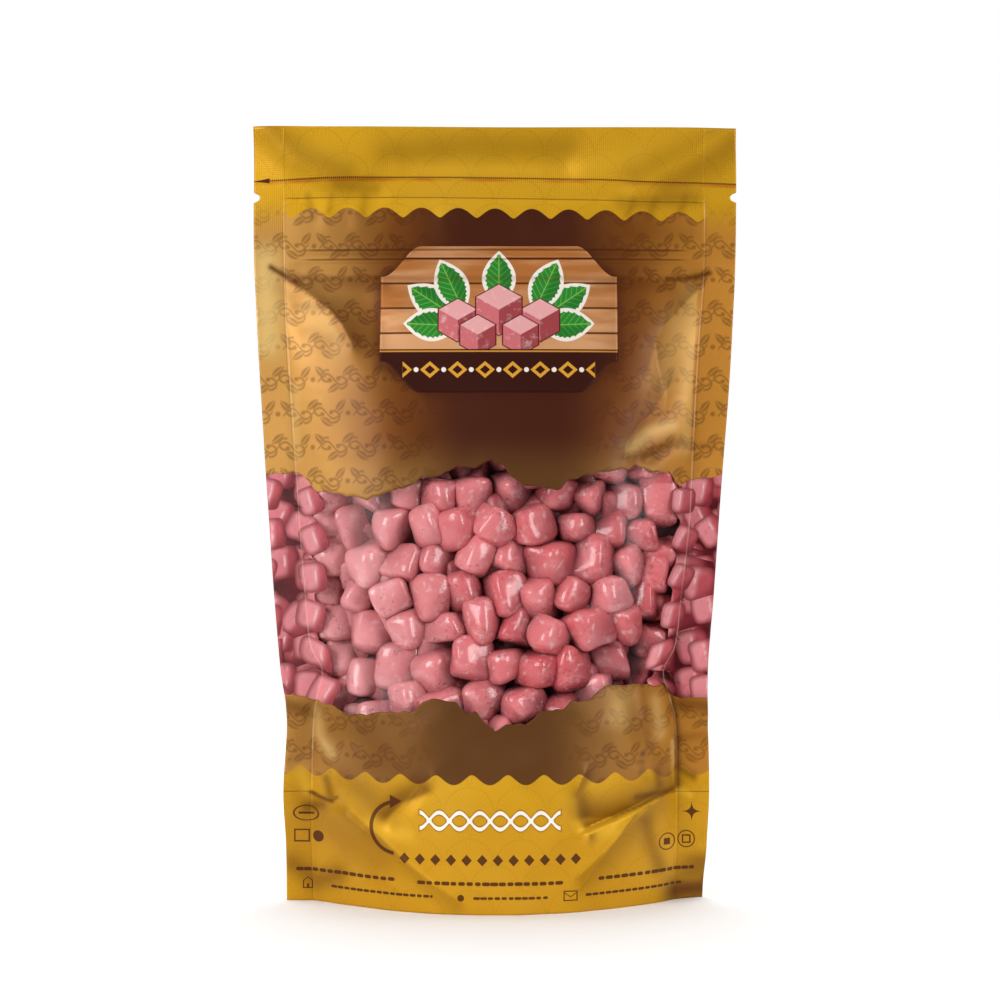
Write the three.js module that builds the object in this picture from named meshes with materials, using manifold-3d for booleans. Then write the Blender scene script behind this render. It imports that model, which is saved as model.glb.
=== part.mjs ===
// A filled stand-up pouch of small rounded sweets, with a clear band in its front panel.
// Millimetres, +Z up, front towards -Y, origin at the middle of the base.

import * as THREE from 'three';
import { ConvexGeometry } from 'three/addons/geometries/ConvexGeometry.js';
import { mergeVertices } from 'three/addons/utils/BufferGeometryUtils.js';
import Module from 'manifold-3d';

const wasm = await Module();
wasm.setup();

// ---- Driving dimensions ----

const HEIGHT = 256; // standing height of the filled pouch
const SEALED = 0.6; // thickness where the two panels are sealed to each other

// How square the belly is from side to side at a height, and how steeply it leaves the side seals:
// the foot is a pointed oval, because its corners are sealed to the gusset
const ROUNDNESS = through([[0, 2.1], [14, 2.2], [34, 2.5], [50, 2.6], [HEIGHT, 2.6]]);
const FULLNESS = through([[0, 1.1], [14, 1.05], [34, 0.85], [50, 0.8], [HEIGHT, 0.8]]);

// Half widths at a height: the outer edge, and the seam where the side seal ends
const LEFT_EDGE = through([
  [0, 69.0], [19, 69.4], [36, 70.2], [60, 69.0], [78, 71.2], [100, 73.1],
  [130, 75.3], [167, 77.6], [200, 79.3], [212, 79.8], [HEIGHT, 80.0],
]);
const RIGHT_EDGE = through([
  [0, 69.1], [19, 70.0], [36, 70.8], [60, 70.4], [78, 70.3], [100, 72.3],
  [130, 74.4], [167, 77.2], [200, 79.0], [212, 79.4], [HEIGHT, 80.0],
]);
const LEFT_SEAM = through([
  [0, 60.0], [36, 60.7], [60, 60.0], [68, 58.8], [76, 57.2], [84, 61.0],
  [100, 62.8], [125, 64.8], [150, 66.4], [187, 68.9], [210, 69.7], [HEIGHT, 69.7],
]);
const RIGHT_SEAM = through([
  [0, 59.6], [36, 59.9], [60, 59.5], [68, 57.5], [76, 55.6], [84, 59.4],
  [100, 61.4], [125, 64.2], [150, 65.4], [187, 67.5], [210, 69.1], [HEIGHT, 69.1],
]);

// How far the middle of a panel stands out at a height
const BELLY = through([
  [0, 27.2], [8, 27.8], [36, 28.4], [60, 28.2], [85, 26.6], [110, 23.9], [135, 20.6],
  [155, 17.0], [172, 13.0], [187, 8.6], [198, 4.6], [206, 1.7], [212, 0.7], [HEIGHT, 0.4],
]);

// Press-to-close zip inside the header: two profiles that show as ridges
const ZIP_RIDGES = [215.3, 212.3];
const ZIP_RISE = 0.55;
const ZIP_HALF_WIDTH = 0.9;
const ZIP_MIDDLE = (ZIP_RIDGES[0] + ZIP_RIDGES[1]) / 2;

// Tear notches in the side seals
const NOTCH_HEIGHT = 232.5;
const NOTCH_DEPTH = 2.0;
const NOTCH_RADIUS = 1.5;
const NOTCH_SIDES = 10;
const CUTTER_LENGTH = 6; // well past both faces of the seal

// Folds in the film, each from one point (across, up) to another, by their rise and reach
const FRONT_FOLDS = [
  { from: [-57, 199], to: [-45, 172], rise: 1.6, reach: 6 },
  { from: [-67, 194], to: [-60, 176], rise: -1.4, reach: 5 },
  { from: [63, 198], to: [51, 183], rise: -1.8, reach: 5 },
  { from: [55, 201], to: [42, 172], rise: 1.2, reach: 6 },
  { from: [-51, 39], to: [-27, 34], rise: -1.8, reach: 4.5 },
  { from: [-53, 27], to: [-36, 24], rise: 1.4, reach: 5 },
  { from: [31, 39], to: [54, 38], rise: -3.2, reach: 5 },
  { from: [30, 26], to: [58, 32], rise: 1.5, reach: 4.5 },
];
const BACK_FOLDS = [
  { from: [-56, 200], to: [-42, 172], rise: 1.5, reach: 6 },
  { from: [58, 199], to: [45, 174], rise: 1.5, reach: 6 },
  { from: [-53, 38], to: [-28, 36], rise: -2.6, reach: 5 },
  { from: [34, 40], to: [54, 34], rise: -2.0, reach: 5 },
];

// Clear band of the front panel, between two torn-looking edges (across, up)
const BAND_TOP = through([
  [-70, 141.5], [-64, 141.3], [-59, 135.4], [-51, 134.5], [-41, 132.8], [-33, 135.0],
  [-24, 139.6], [-12, 143.3], [-2, 145.2], [5, 139.4], [14, 136.2], [21, 135.7],
  [27, 139.8], [46, 143.6], [57, 141.2], [61, 137.3], [70, 140.0],
]);
const BAND_BOTTOM = through([
  [-70, 68.9], [-57, 65.4], [-47, 62.7], [-34, 64.8], [-27, 64.6], [-20, 68.9], [-13, 68.0],
  [-8, 64.8], [0, 59.2], [9, 61.2], [16, 65.4], [28, 68.6], [36, 73.0], [56, 71.6], [70, 66.5],
]);
const BAND_HALF_WIDTH = 60; // where the torn edges are read at the band's ends
const BAND_REACH = 0.94; // share of the way from the middle to the seam
const BAND_SINK = 13; // depth of the sweets that show
const CUTTER_PROUD = 8; // how far the band's cutter stands out of the film
const MID_WALL = 1.0; // what is left in front of the middle plane
const CLEARANCE = 0.35; // between the sweets and the pouch

// The sweets: small soft cubes, heaped at random
const SWEET_SIZE = 12.8;
const SIZE_SPREAD = 0.45;
const FLAT_SHARE = 0.62; // share of each face that the cut edges leave flat
const HEAP_LOW = 58; // the rows of sweets start and end behind the printed film
const HEAP_HIGH = 150;
const HEAP_REACH = 58;
const HEAP_SHARE = 0.97; // share of the way to the seam that the outermost sweets may reach
const ROW_STEP = 10.6;
const COLUMN_STEP = 11.6;
const SCATTER = 5;
const HEAP_SEED = 2024;
const SETTLE_STEPS = 40;
const SETTLE_SHARE = 0.25; // share of an overlap that each sweet gives way by in a step
const TOUCHING = 0.94; // centre distance of two touching sweets, in sweet sizes
const DEEPEST_DROP = 4.6; // how far behind the film a sweet's foremost corner may lie
const CORE_DEPTH = 8.0; // the heap's core, behind the film
const TURNS = [[-0.22, 0.22], [-0.55, 0.55], [0.3, 1.2]]; // least and most turn about x, y and z

// The grids: steps across and up each shape
const PANEL_COLUMNS = 30;
const SEAL_COLUMNS = 2; // of them, on each side seal
const BELLY_ROWS = 24;
const BELLY_TOP = 208;
const ZIP_ROWS = [-2.7, -1.5, 0, 1.5, 2.7].map((off) => ZIP_MIDDLE + off);
const HEADER_ROWS = [222, NOTCH_HEIGHT, 244, HEIGHT];
const BAND_COLUMNS = 18;
const BAND_ROWS = 6;

// ---- Curves and small sums ----

// A smooth curve through stations, as a function: cubic between each two of them
function through(stations) {
  const last = stations.length - 1;
  const slope = (i) => {
    const a = stations[Math.max(i - 1, 0)];
    const b = stations[Math.min(i + 1, last)];
    return (b[1] - a[1]) / (b[0] - a[0]);
  };
  return (at) => {
    const where = THREE.MathUtils.clamp(at, stations[0][0], stations[last][0]);
    let i = 1;
    while (i < last && where > stations[i][0]) i += 1;
    const [x0, y0] = stations[i - 1];
    const [x1, y1] = stations[i];
    const step = x1 - x0;
    const t = (where - x0) / step;
    const bend = 3 * t * t - 2 * t * t * t;
    const leave = t * t * t - 2 * t * t + t;
    const arrive = t * t * t - t * t;
    return y0 + (y1 - y0) * bend + step * (slope(i - 1) * leave + slope(i) * arrive);
  };
}

// Distance from a point of the panel to a straight fold
function awayFrom(fold, x, z) {
  const [ax, az] = fold.from;
  const [bx, bz] = fold.to;
  const run = (x - ax) * (bx - ax) + (z - az) * (bz - az);
  const t = THREE.MathUtils.clamp(run / ((bx - ax) ** 2 + (bz - az) ** 2), 0, 1);
  return Math.hypot(x - ax - t * (bx - ax), z - az - t * (bz - az));
}

// The same run of numbers from 0 to 1 each time
const DRAW_FACTOR = 1664525;
const DRAW_STEP = 1013904223;
let drawn = HEAP_SEED;
function draw() {
  drawn = (Math.imul(drawn, DRAW_FACTOR) + DRAW_STEP) >>> 0;
  return drawn / 2 ** 32;
}

// ---- The pouch's film ----

const edgeAt = (x, z) => (x < 0 ? LEFT_EDGE(z) : RIGHT_EDGE(z));
const seamAt = (x, z) => (x < 0 ? LEFT_SEAM(z) : RIGHT_SEAM(z));

// How far a panel stands out from the middle plane
function standOut(x, z, isFront) {
  const share = Math.min(Math.abs(x) / seamAt(x, z), 1);
  const belly = BELLY(z) * (1 - share ** ROUNDNESS(z)) ** FULLNESS(z);
  let relief = 0;
  for (const fold of isFront ? FRONT_FOLDS : BACK_FOLDS) {
    relief += fold.rise * Math.exp(-((awayFrom(fold, x, z) / fold.reach) ** 2));
  }
  for (const ridge of ZIP_RIDGES) {
    relief += ZIP_RISE * Math.exp(-(((z - ridge) / ZIP_HALF_WIDTH) ** 2));
  }
  return SEALED / 2 + belly + relief * (1 - share ** 4);
}

// Heights of the grid's rows: even up the belly, close together over the zip
function rowHeights() {
  const rows = [];
  for (let i = 0; i <= BELLY_ROWS; i += 1) rows.push((BELLY_TOP * i) / BELLY_ROWS);
  return [...rows, ...ZIP_ROWS, ...HEADER_ROWS];
}

// Places across the panel from edge to edge: two steps on each seal, closer near the seam
function acrossAt(column, z) {
  const fromEdge = Math.min(column, PANEL_COLUMNS - column);
  const side = column < PANEL_COLUMNS / 2 ? -1 : 1;
  const seam = seamAt(side, z);
  if (fromEdge <= SEAL_COLUMNS) {
    const edge = edgeAt(side, z);
    return side * THREE.MathUtils.lerp(edge, seam, fromEdge / SEAL_COLUMNS);
  }
  const inner = 1 - (fromEdge - SEAL_COLUMNS) / (PANEL_COLUMNS / 2 - SEAL_COLUMNS);
  return side * seam * THREE.MathUtils.lerp(inner, Math.sin((inner * Math.PI) / 2), 0.5);
}

// Takes a box whose every vertex is known by its grid place, and moves each where it belongs
function warpBox(columns, rows, place) {
  const box = new THREE.BoxGeometry(columns, 2, rows, columns, 1, rows);
  box.deleteAttribute('normal');
  box.deleteAttribute('uv');
  const geometry = mergeVertices(box);
  const position = geometry.attributes.position;
  for (let i = 0; i < position.count; i += 1) {
    const column = Math.round(position.getX(i) + columns / 2);
    const row = Math.round(position.getZ(i) + rows / 2);
    const [x, y, z] = place(column, row, position.getY(i) < 0);
    position.setXYZ(i, x, y, z);
  }
  return geometry;
}

function pouchBody() {
  const rows = rowHeights();
  return warpBox(PANEL_COLUMNS, rows.length - 1, (column, row, isFront) => {
    const z = rows[row];
    const x = acrossAt(column, z);
    const out = standOut(x, z, isFront);
    return [x, isFront ? -out : out, z];
  });
}

// A block that follows the film over the clear band, from one depth behind it to another
function bandBlock(inset, from, to, backStop) {
  return warpBox(BAND_COLUMNS, BAND_ROWS, (column, row, isFront) => {
    const side = (2 * column) / BAND_COLUMNS - 1;
    const low = BAND_BOTTOM(side * BAND_HALF_WIDTH) + inset;
    const high = BAND_TOP(side * BAND_HALF_WIDTH) - inset;
    const z = THREE.MathUtils.lerp(low, high, row / BAND_ROWS);
    const x = side * (BAND_REACH * seamAt(side, z) - inset);
    const film = -standOut(x, z, true);
    const back = Math.min(film + to, backStop);
    return [x, isFront ? Math.min(film + from, back - 1) : back, z];
  });
}

function notchCutter(side) {
  const cutter = new THREE.CylinderGeometry(NOTCH_RADIUS, NOTCH_RADIUS, CUTTER_LENGTH, NOTCH_SIDES);
  cutter.scale(NOTCH_DEPTH / NOTCH_RADIUS, 1, 1);
  cutter.translate(side * edgeAt(side, NOTCH_HEIGHT), 0, NOTCH_HEIGHT);
  return cutter;
}

// ---- The heap of sweets ----

// Places, sizes and turns of the sweets that show, in rows that are then let settle
function heapLayout() {
  const sweets = [];
  let isShifted = false;
  for (let z = HEAP_LOW; z <= HEAP_HIGH; z += ROW_STEP) {
    const start = -HEAP_REACH + (isShifted ? COLUMN_STEP / 2 : 0);
    for (let x = start; x <= HEAP_REACH; x += COLUMN_STEP) {
      sweets.push({
        x: x + (draw() - 0.5) * SCATTER,
        z: z + (draw() - 0.5) * SCATTER,
        drop: draw() * DEEPEST_DROP,
        size: [0, 1, 2].map(() => SWEET_SIZE * (1 + (draw() - 0.5) * SIZE_SPREAD)),
        turn: TURNS.map(([least, most]) => THREE.MathUtils.lerp(least, most, draw())),
      });
    }
    isShifted = !isShifted;
  }
  for (let step = 0; step < SETTLE_STEPS; step += 1) settle(sweets);
  return sweets;
}

// One step of pushing apart the sweets that lie too close
function settle(sweets) {
  for (let i = 0; i < sweets.length; i += 1) {
    for (let j = i + 1; j < sweets.length; j += 1) {
      const a = sweets[i];
      const b = sweets[j];
      const apart = Math.hypot(b.x - a.x, b.z - a.z);
      const wanted = (TOUCHING * (a.size[0] + b.size[0])) / 2;
      if (apart < wanted && apart > 0) {
        const push = (SETTLE_SHARE * (wanted - apart)) / apart;
        const [dx, dz] = [push * (b.x - a.x), push * (b.z - a.z)];
        a.x -= dx;
        a.z -= dz;
        b.x += dx;
        b.z += dz;
      }
    }
  }
}

// A cube with its edges and corners cut, turned, its foremost corner close behind the film
function sweetShape(sweet) {
  const points = [];
  for (let corner = 0; corner < 8; corner += 1) {
    const signs = [corner & 1, corner & 2, corner & 4].map((bit) => (bit ? 1 : -1));
    for (let face = 0; face < 3; face += 1) {
      const place = signs.map((sign, axis) => {
        const share = axis === face ? 1 : FLAT_SHARE;
        return (sign * share * sweet.size[axis]) / 2;
      });
      points.push(new THREE.Vector3(...place));
    }
  }
  const half = sweet.size[0] / 2;
  const reach = HEAP_SHARE * seamAt(sweet.x, sweet.z) - half;
  const x = THREE.MathUtils.clamp(sweet.x, -reach, reach);
  const fall = standOut(x - half, sweet.z, true) - standOut(x + half, sweet.z, true);
  const geometry = new ConvexGeometry(points);
  geometry.rotateX(sweet.turn[0]);
  geometry.rotateY(sweet.turn[1]);
  geometry.rotateZ(sweet.turn[2] + Math.atan(fall / (2 * half)));
  geometry.computeBoundingBox();
  const film = -standOut(x, sweet.z, true);
  const front = film + CLEARANCE + sweet.drop;
  const y = Math.min(front - geometry.boundingBox.min.y, -MID_WALL - sweet.size[1] / 3);
  geometry.translate(x, y, sweet.z);
  return geometry;
}

// ---- Joining and cutting ----

function toSolid(geometry) {
  const bare = geometry.clone();
  bare.deleteAttribute('normal');
  bare.deleteAttribute('uv');
  const merged = mergeVertices(bare);
  const mesh = new wasm.Mesh({
    numProp: 3,
    vertProperties: new Float32Array(merged.attributes.position.array),
    triVerts: new Uint32Array(merged.index.array),
  });
  return new wasm.Manifold(mesh);
}

function toGeometry(solid) {
  const { vertProperties, triVerts } = solid.getMesh();
  const geometry = new THREE.BufferGeometry();
  geometry.setAttribute('position', new THREE.BufferAttribute(vertProperties, 3));
  geometry.setIndex(new THREE.BufferAttribute(triVerts, 1));
  geometry.computeVertexNormals();
  return geometry;
}

function makePouch() {
  let pouch = toSolid(pouchBody());
  for (const side of [-1, 1]) pouch = pouch.subtract(toSolid(notchCutter(side)));
  pouch = pouch.subtract(toSolid(bandBlock(0, -CUTTER_PROUD, BAND_SINK, -MID_WALL)));
  return toGeometry(pouch);
}

// The outer skin of the largest piece: loose scraps go, and closed hollows are filled
function mainPiece(solid) {
  const pieces = solid.decompose();
  return pieces.reduce((best, piece) => (piece.volume() > best.volume() ? piece : best));
}

function makeSweets() {
  const backStop = -MID_WALL - CLEARANCE;
  const sink = BAND_SINK - CLEARANCE;
  let heap = toSolid(bandBlock(CLEARANCE, CORE_DEPTH, sink, backStop));
  for (const sweet of heapLayout()) heap = heap.add(toSolid(sweetShape(sweet)));
  const room = toSolid(bandBlock(CLEARANCE, CLEARANCE, sink, backStop));
  return toGeometry(mainPiece(heap.intersect(room)));
}

// ---- The object ----

const printedFilm = new THREE.MeshStandardMaterial({ color: '#c9952f', roughness: 0.42, metalness: 0.15 });
const pinkSweet = new THREE.MeshStandardMaterial({ color: '#de7c80', roughness: 0.4, metalness: 0 });

const pouchOfSweets = new THREE.Group();

const pouch = new THREE.Mesh(makePouch(), printedFilm);
pouch.name = 'pouch';
pouchOfSweets.add(pouch);

const sweets = new THREE.Mesh(makeSweets(), pinkSweet);
sweets.name = 'sweets';
pouchOfSweets.add(sweets);

export default pouchOfSweets;
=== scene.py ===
import math
import random

import bmesh
import bpy
import numpy as np
from mathutils import Matrix, Vector


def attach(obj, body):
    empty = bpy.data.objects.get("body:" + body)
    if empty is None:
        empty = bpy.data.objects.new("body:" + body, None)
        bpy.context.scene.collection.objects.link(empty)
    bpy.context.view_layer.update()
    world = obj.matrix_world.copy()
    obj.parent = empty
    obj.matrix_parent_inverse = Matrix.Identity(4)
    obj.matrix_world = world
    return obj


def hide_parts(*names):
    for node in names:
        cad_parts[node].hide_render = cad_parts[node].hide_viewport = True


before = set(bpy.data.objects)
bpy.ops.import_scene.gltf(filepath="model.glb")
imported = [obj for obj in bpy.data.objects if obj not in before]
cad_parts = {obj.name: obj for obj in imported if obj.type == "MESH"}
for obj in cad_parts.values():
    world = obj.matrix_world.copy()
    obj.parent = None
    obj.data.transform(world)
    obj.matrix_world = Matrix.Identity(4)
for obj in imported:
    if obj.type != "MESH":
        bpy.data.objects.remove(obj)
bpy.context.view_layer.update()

# A filled stand-up zip pouch with a clear band that shows pink cube sweets.
# Lengths are in millimetres here and become metres in the meshes. The front faces -Y.

MM = 0.001

# ---- Driving dimensions, as the solids have them ----

HEIGHT = 256.0
ROUNDNESS = [(0, 2.1), (14, 2.2), (34, 2.5), (50, 2.6), (HEIGHT, 2.6)]
FULLNESS = [(0, 1.1), (14, 1.05), (34, 0.85), (50, 0.8), (HEIGHT, 0.8)]
SEALED_HALF = 0.25
HEADER_HALF_WIDTH = 80.0
DROOP_LIFT = 0.3
DROOP_SLOPE = 0.75
DROOP_BEND = 1.1
HEADER_STARTS = (206, 228)
HEADER_PULL = (224, 212)
SEAL_STIFFENS = 10
EDGE_OF_BELLY = 6
LEFT_EDGE = [
    (0, 69.0), (19, 69.4), (36, 70.2), (60, 69.0), (78, 71.2), (100, 73.1),
    (130, 75.3), (167, 77.6), (200, 79.3), (212, 79.8), (HEIGHT, 80.0),
]
RIGHT_EDGE = [
    (0, 69.1), (19, 70.0), (36, 70.8), (60, 70.4), (78, 70.3), (100, 72.3),
    (130, 74.4), (167, 77.2), (200, 79.0), (212, 79.4), (HEIGHT, 80.0),
]
LEFT_SEAM = [
    (0, 60.0), (36, 60.7), (60, 60.0), (68, 58.8), (76, 57.2), (84, 61.0),
    (100, 62.8), (125, 64.8), (150, 66.4), (187, 68.9), (210, 69.7), (HEIGHT, 69.7),
]
RIGHT_SEAM = [
    (0, 59.6), (36, 59.9), (60, 59.5), (68, 57.5), (76, 55.6), (84, 59.4),
    (100, 61.4), (125, 64.2), (150, 65.4), (187, 67.5), (210, 69.1), (HEIGHT, 69.1),
]
BELLY = [
    (0, 27.2), (8, 27.8), (36, 28.4), (60, 28.2), (85, 26.6), (110, 23.9), (135, 20.6),
    (155, 17.0), (172, 13.0), (187, 8.6), (198, 4.6), (206, 1.7), (212, 0.7), (HEIGHT, 0.4),
]
ZIP_RIDGES = (214.6, 211.5)
ZIP_RISE = 0.45
ZIP_HALF_WIDTH = 0.8
ZIP_REACH = 62.0
JAW_LINE = 232.4
NOTCH_HEIGHT = 232.5
NOTCH_DEPTH = 2.0
NOTCH_HALF = 1.5
BAND_TOP = [
    (-80, 141.8), (-71, 141.3), (-65, 141.4), (-62.4, 139.4), (-59.2, 135.5), (-51.6, 134.5),
    (-41.2, 132.8), (-36, 134.4), (-27.2, 137.0), (-23.6, 139.6), (-16.5, 140.9), (-12, 143.5),
    (-6.5, 142.8), (-1.7, 145.4), (2.9, 143.1), (5.1, 139.6), (10.9, 136.7), (16.7, 136.2),
    (21.2, 135.7), (23.5, 139.0), (30.7, 140.6), (35.9, 141.9), (43.5, 142.6), (45.8, 144.1),
    (51.2, 141.3), (57.3, 141.4), (60.8, 137.1), (64.4, 139.4), (70.8, 140.1), (80, 141.3),
]
BAND_BOTTOM = [
    (-80, 68.9), (-63.4, 67.9), (-56.7, 65.4), (-52.4, 65.2), (-47.5, 62.6), (-42, 63.4),
    (-33.8, 64.8), (-26.6, 64.4), (-24, 67.3), (-20.5, 68.9), (-12.5, 68.1), (-9.3, 64.6),
    (-6.4, 65.2), (0, 58.9), (3.5, 61.1), (10.2, 61.1), (14.6, 65.2), (21.7, 65.7),
    (24.3, 67.9), (30.8, 69.0), (35.7, 73.1), (56.2, 71.6), (57.9, 68.4), (60.9, 66.6),
    (66.8, 67.4), (80, 66.5),
]


def through(stations, at):
    """Reads a smooth curve through stations at many places: cubic between each two."""
    xs = np.array([s[0] for s in stations], float)
    ys = np.array([s[1] for s in stations], float)
    slopes = np.empty_like(ys)
    slopes[1:-1] = (ys[2:] - ys[:-2]) / (xs[2:] - xs[:-2])
    slopes[0] = (ys[1] - ys[0]) / (xs[1] - xs[0])
    slopes[-1] = (ys[-1] - ys[-2]) / (xs[-1] - xs[-2])
    at = np.clip(at, xs[0], xs[-1])
    i = np.clip(np.searchsorted(xs, at), 1, len(xs) - 1)
    step = xs[i] - xs[i - 1]
    t = (at - xs[i - 1]) / step
    bend = 3 * t ** 2 - 2 * t ** 3
    leave = t ** 3 - 2 * t ** 2 + t
    arrive = t ** 3 - t ** 2
    return ys[i - 1] + (ys[i] - ys[i - 1]) * bend + step * (slopes[i - 1] * leave + slopes[i] * arrive)


def smooth(low, high, at):
    """Rises from 0 at low to 1 at high."""
    t = np.clip((at - low) / (high - low), 0, 1)
    return t * t * (3 - 2 * t)


def seam(x, z):
    return np.where(x < 0, through(LEFT_SEAM, z), through(RIGHT_SEAM, z))


def share_across(x, z):
    """0 in the middle of the belly to 1 at the seams and beyond."""
    return np.clip(np.abs(x) / seam(x, z), 0, 1)


def share_beyond(x, z):
    """0 at the seams to 1 well out on the side seals."""
    return np.clip((np.abs(x) - seam(x, z)) / SEAL_STIFFENS, 0, 1)


def share_header(z):
    """0 on the belly to 1 in the flat header."""
    return smooth(*HEADER_STARTS, z)


def edge(x, z):
    """The outer edge of the seals, with the tear notches."""
    plain = np.where(x < 0, through(LEFT_EDGE, z), through(RIGHT_EDGE, z))
    off = np.clip((z - NOTCH_HEIGHT) / NOTCH_HALF, -1, 1)
    return plain - NOTCH_DEPTH * np.sqrt(1 - off ** 2)


# ---- Folds, puckers and waves of the film ----

def fold(route, rise, reach, sharp=False, right=None, right_rise=None):
    """A ridge or a hollow along a route. On the route's right hand it may have another reach and rise."""
    return {
        "route": route, "rise": rise, "reach": reach, "sharp": sharp,
        "right": right or reach, "right_rise": rise if right_rise is None else right_rise,
    }


CLIFF_HALF = 0.6
FRONT_FOLDS = [fold(*row) for row in (
    # left shoulder, under the zip
    ([(-72, 209), (-65.7, 203.9), (-55, 196), (-50, 190.4), (-46.6, 184)], 2.1, 1.9, True, 8),
    ([(-45, 180), (-40, 166), (-33, 154)], 0.9, 10),
    ([(-71, 211.5), (-64, 205)], -1.0, 1.3),
    ([(-66, 196), (-61, 184)], -1.1, 4),
    ([(-44, 199), (-37, 186)], -1.0, 6),
    # right shoulder
    (
        [(68.2, 204.3), (60.7, 196.8), (55.7, 190.3), (53, 184.4), (53.5, 178), (55, 170)],
        -2.0, 7, True, 4.5,
    ),
    ([(57.4, 173.8), (55.8, 163.3), (48.2, 158), (43.5, 151.2), (42.4, 146)], -1.7, 8, True, 4.5),
    ([(62, 152), (50, 146)], -1.3, 2.2),
    ([(66, 160), (64, 147)], 0.9, 4),
    ([(68.5, 206.5), (70.5, 205.5)], 0.9, 1.7),
    # the film steps down just under the zip
    ([(-62, 207.4), (66, 207.0)], 0.8, 3.0, False, 2.0),
    # foot, left
    ([(-62, 36.4), (-55, 34.0), (-52.5, 35.0)], 1.5, 3.4, False, 2.4, -0.9),
    ([(-53.5, 42), (-51.5, 33)], -1.6, 2.2),
    ([(-46, 41), (-46, 33)], -1.5, 4.0),
    ([(-20, 44), (-31, 31)], 1.5, 4.2, True),
    ([(-24.5, 41), (-34, 29)], -2.0, 3.6),
    ([(-49, 30), (-43, 25.7)], 1.6, 2.4, True),
    ([(-50, 22), (-42, 14), (-33, 8)], 0.9, 2.8, True),
    ([(-57, 22), (-50, 13)], -1.6, 3.6),
    # foot, right
    ([(30, 26.5), (38, 29.3), (46, 32.4), (56.5, 37.2)], -4.0, 7.0, True, 4.5, 0.9),
    ([(28.5, 45), (25.2, 38.2), (26.5, 31.8), (30, 26)], 1.9, 1.8, True, 4.5),
    ([(45, 31), (36, 19), (27, 8)], 1.2, 3.0, True, 2.0),
    ([(52, 31), (49, 20)], -1.3, 2.8),
    ([(59, 26), (55, 14)], -1.1, 3.0),
    # beside the seams over the gusset, and at the waist
    ([(-55, 73), (-57, 60), (-58, 45)], 1.4, 2.4, True),
    ([(53, 74), (57, 62), (57.6, 50), (58, 38)], 1.9, 3.4, True, 1.8),
    ([(-58, 76), (-48, 80)], -1.3, 3),
    ([(-58, 76), (-49, 69)], -1.0, 3),
    ([(-57, 58), (-46, 51)], 1.6, 2.6, True),
    ([(-58, 51), (-49, 43)], -1.4, 2.4),
    ([(56.5, 76.5), (47, 81)], -1.2, 3),
    ([(44, 71), (47, 56)], -1.2, 2.6),
    ([(57, 57), (49, 49), (50, 43)], -1.5, 2.2),
)]
# The sealed film bends as one: header, side seals and the corners of the foot
SEALED_FOLDS = [fold(*row) for row in (
    ([(-77, 257), (-65, 245), (-51, 238)], 2.4, 10, False, 6),
    ([(-30, 243.5), (22, 243.5)], -1.5, 5.5),
    ([(-50, 235), (-40, 235)], -0.7, 4.5),
    ([(50, 236), (66, 243.5), (81, 253)], -2.4, 9, False, 7),
    ([(-70, 67), (-63, 64)], -1.1, 2.4),
    ([(-67, 45.5), (-60, 44.5)], -1.0, 2.0),
    ([(-68, 52), (-66, 30)], 0.9, 4),
    ([(60, 57.5), (71, 57)], -1.2, 2.6),
    ([(59, 42.5), (66, 41.5)], -1.1, 2.2),
    ([(71, 86), (70, 74)], 0.9, 4),
    ([(66, 17), (72, 12)], 1.0, 5),
)]
CORNER_CURL = 7.0
BACK_FOLDS = [fold(*row) for row in (
    ([(-69, 206), (-55, 196), (-46, 180), (-40, 165)], 1.6, 6, True),
    ([(68, 206), (57, 194), (48, 178), (44, 166)], 1.7, 6, True),
    ([(-64, 196), (-58, 182)], -1.2, 5),
    ([(64, 197), (59, 184)], -1.3, 5),
    ([(-66, 208.6), (66, 208.6)], -0.35, 1.3),
    ([(-53, 38), (-42, 38), (-28, 36)], -2.6, 4.2),
    ([(-56, 36), (-44, 30), (-30, 27)], 1.5, 2.8, True),
    ([(34, 40), (54, 34)], -2.0, 4),
    ([(36, 30), (55, 27)], 1.1, 3, True),
    ([(-56, 74), (-58, 50)], 0.9, 2.4, True),
    ([(56, 74), (58, 50)], 0.9, 2.4, True),
    ([(-58, 76), (-46, 80)], -1.2, 3),
    ([(56.5, 76), (46, 80)], -1.2, 3),
    ([(-30, 120), (5, 108)], 0.5, 6),
    ([(28, 150), (40, 120)], 0.5, 7),
)]


def puckers(seed):
    """Short wrinkles that run in from the side seams."""
    rng = random.Random(seed)
    made = []
    for side in (-1, 1):
        z = 12.0
        while z < 200:
            reach = rng.uniform(5, 15)
            start = float(seam(np.array(side), np.array(z))) - 0.5
            slant = rng.uniform(-4, 4)
            route = [(side * start, z), (side * (start - reach), z + slant)]
            made.append(fold(route, rng.uniform(-0.4, 0.4), rng.uniform(0.9, 1.8)))
            z += rng.uniform(4, 11)
    return made


def away(route, x, z):
    """Distance to a route of straight stretches, and from 0 to 1 how far it lies to the right."""
    nearest = np.full(np.shape(x), 1e9)
    to_right = np.zeros(np.shape(x))
    for (ax, az), (bx, bz) in zip(route, route[1:]):
        length = math.hypot(bx - ax, bz - az)
        run = ((x - ax) * (bx - ax) + (z - az) * (bz - az)) / length ** 2
        t = np.clip(run, 0, 1)
        gap = np.hypot(x - ax - t * (bx - ax), z - az - t * (bz - az))
        beside = ((x - ax) * (bz - az) - (z - az) * (bx - ax)) / length
        side = 0.5 + 0.5 * np.clip(beside / np.maximum(gap, CLIFF_HALF), -1, 1)
        to_right = np.where(gap < nearest, side, to_right)
        nearest = np.minimum(nearest, gap)
    return nearest, to_right


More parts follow.
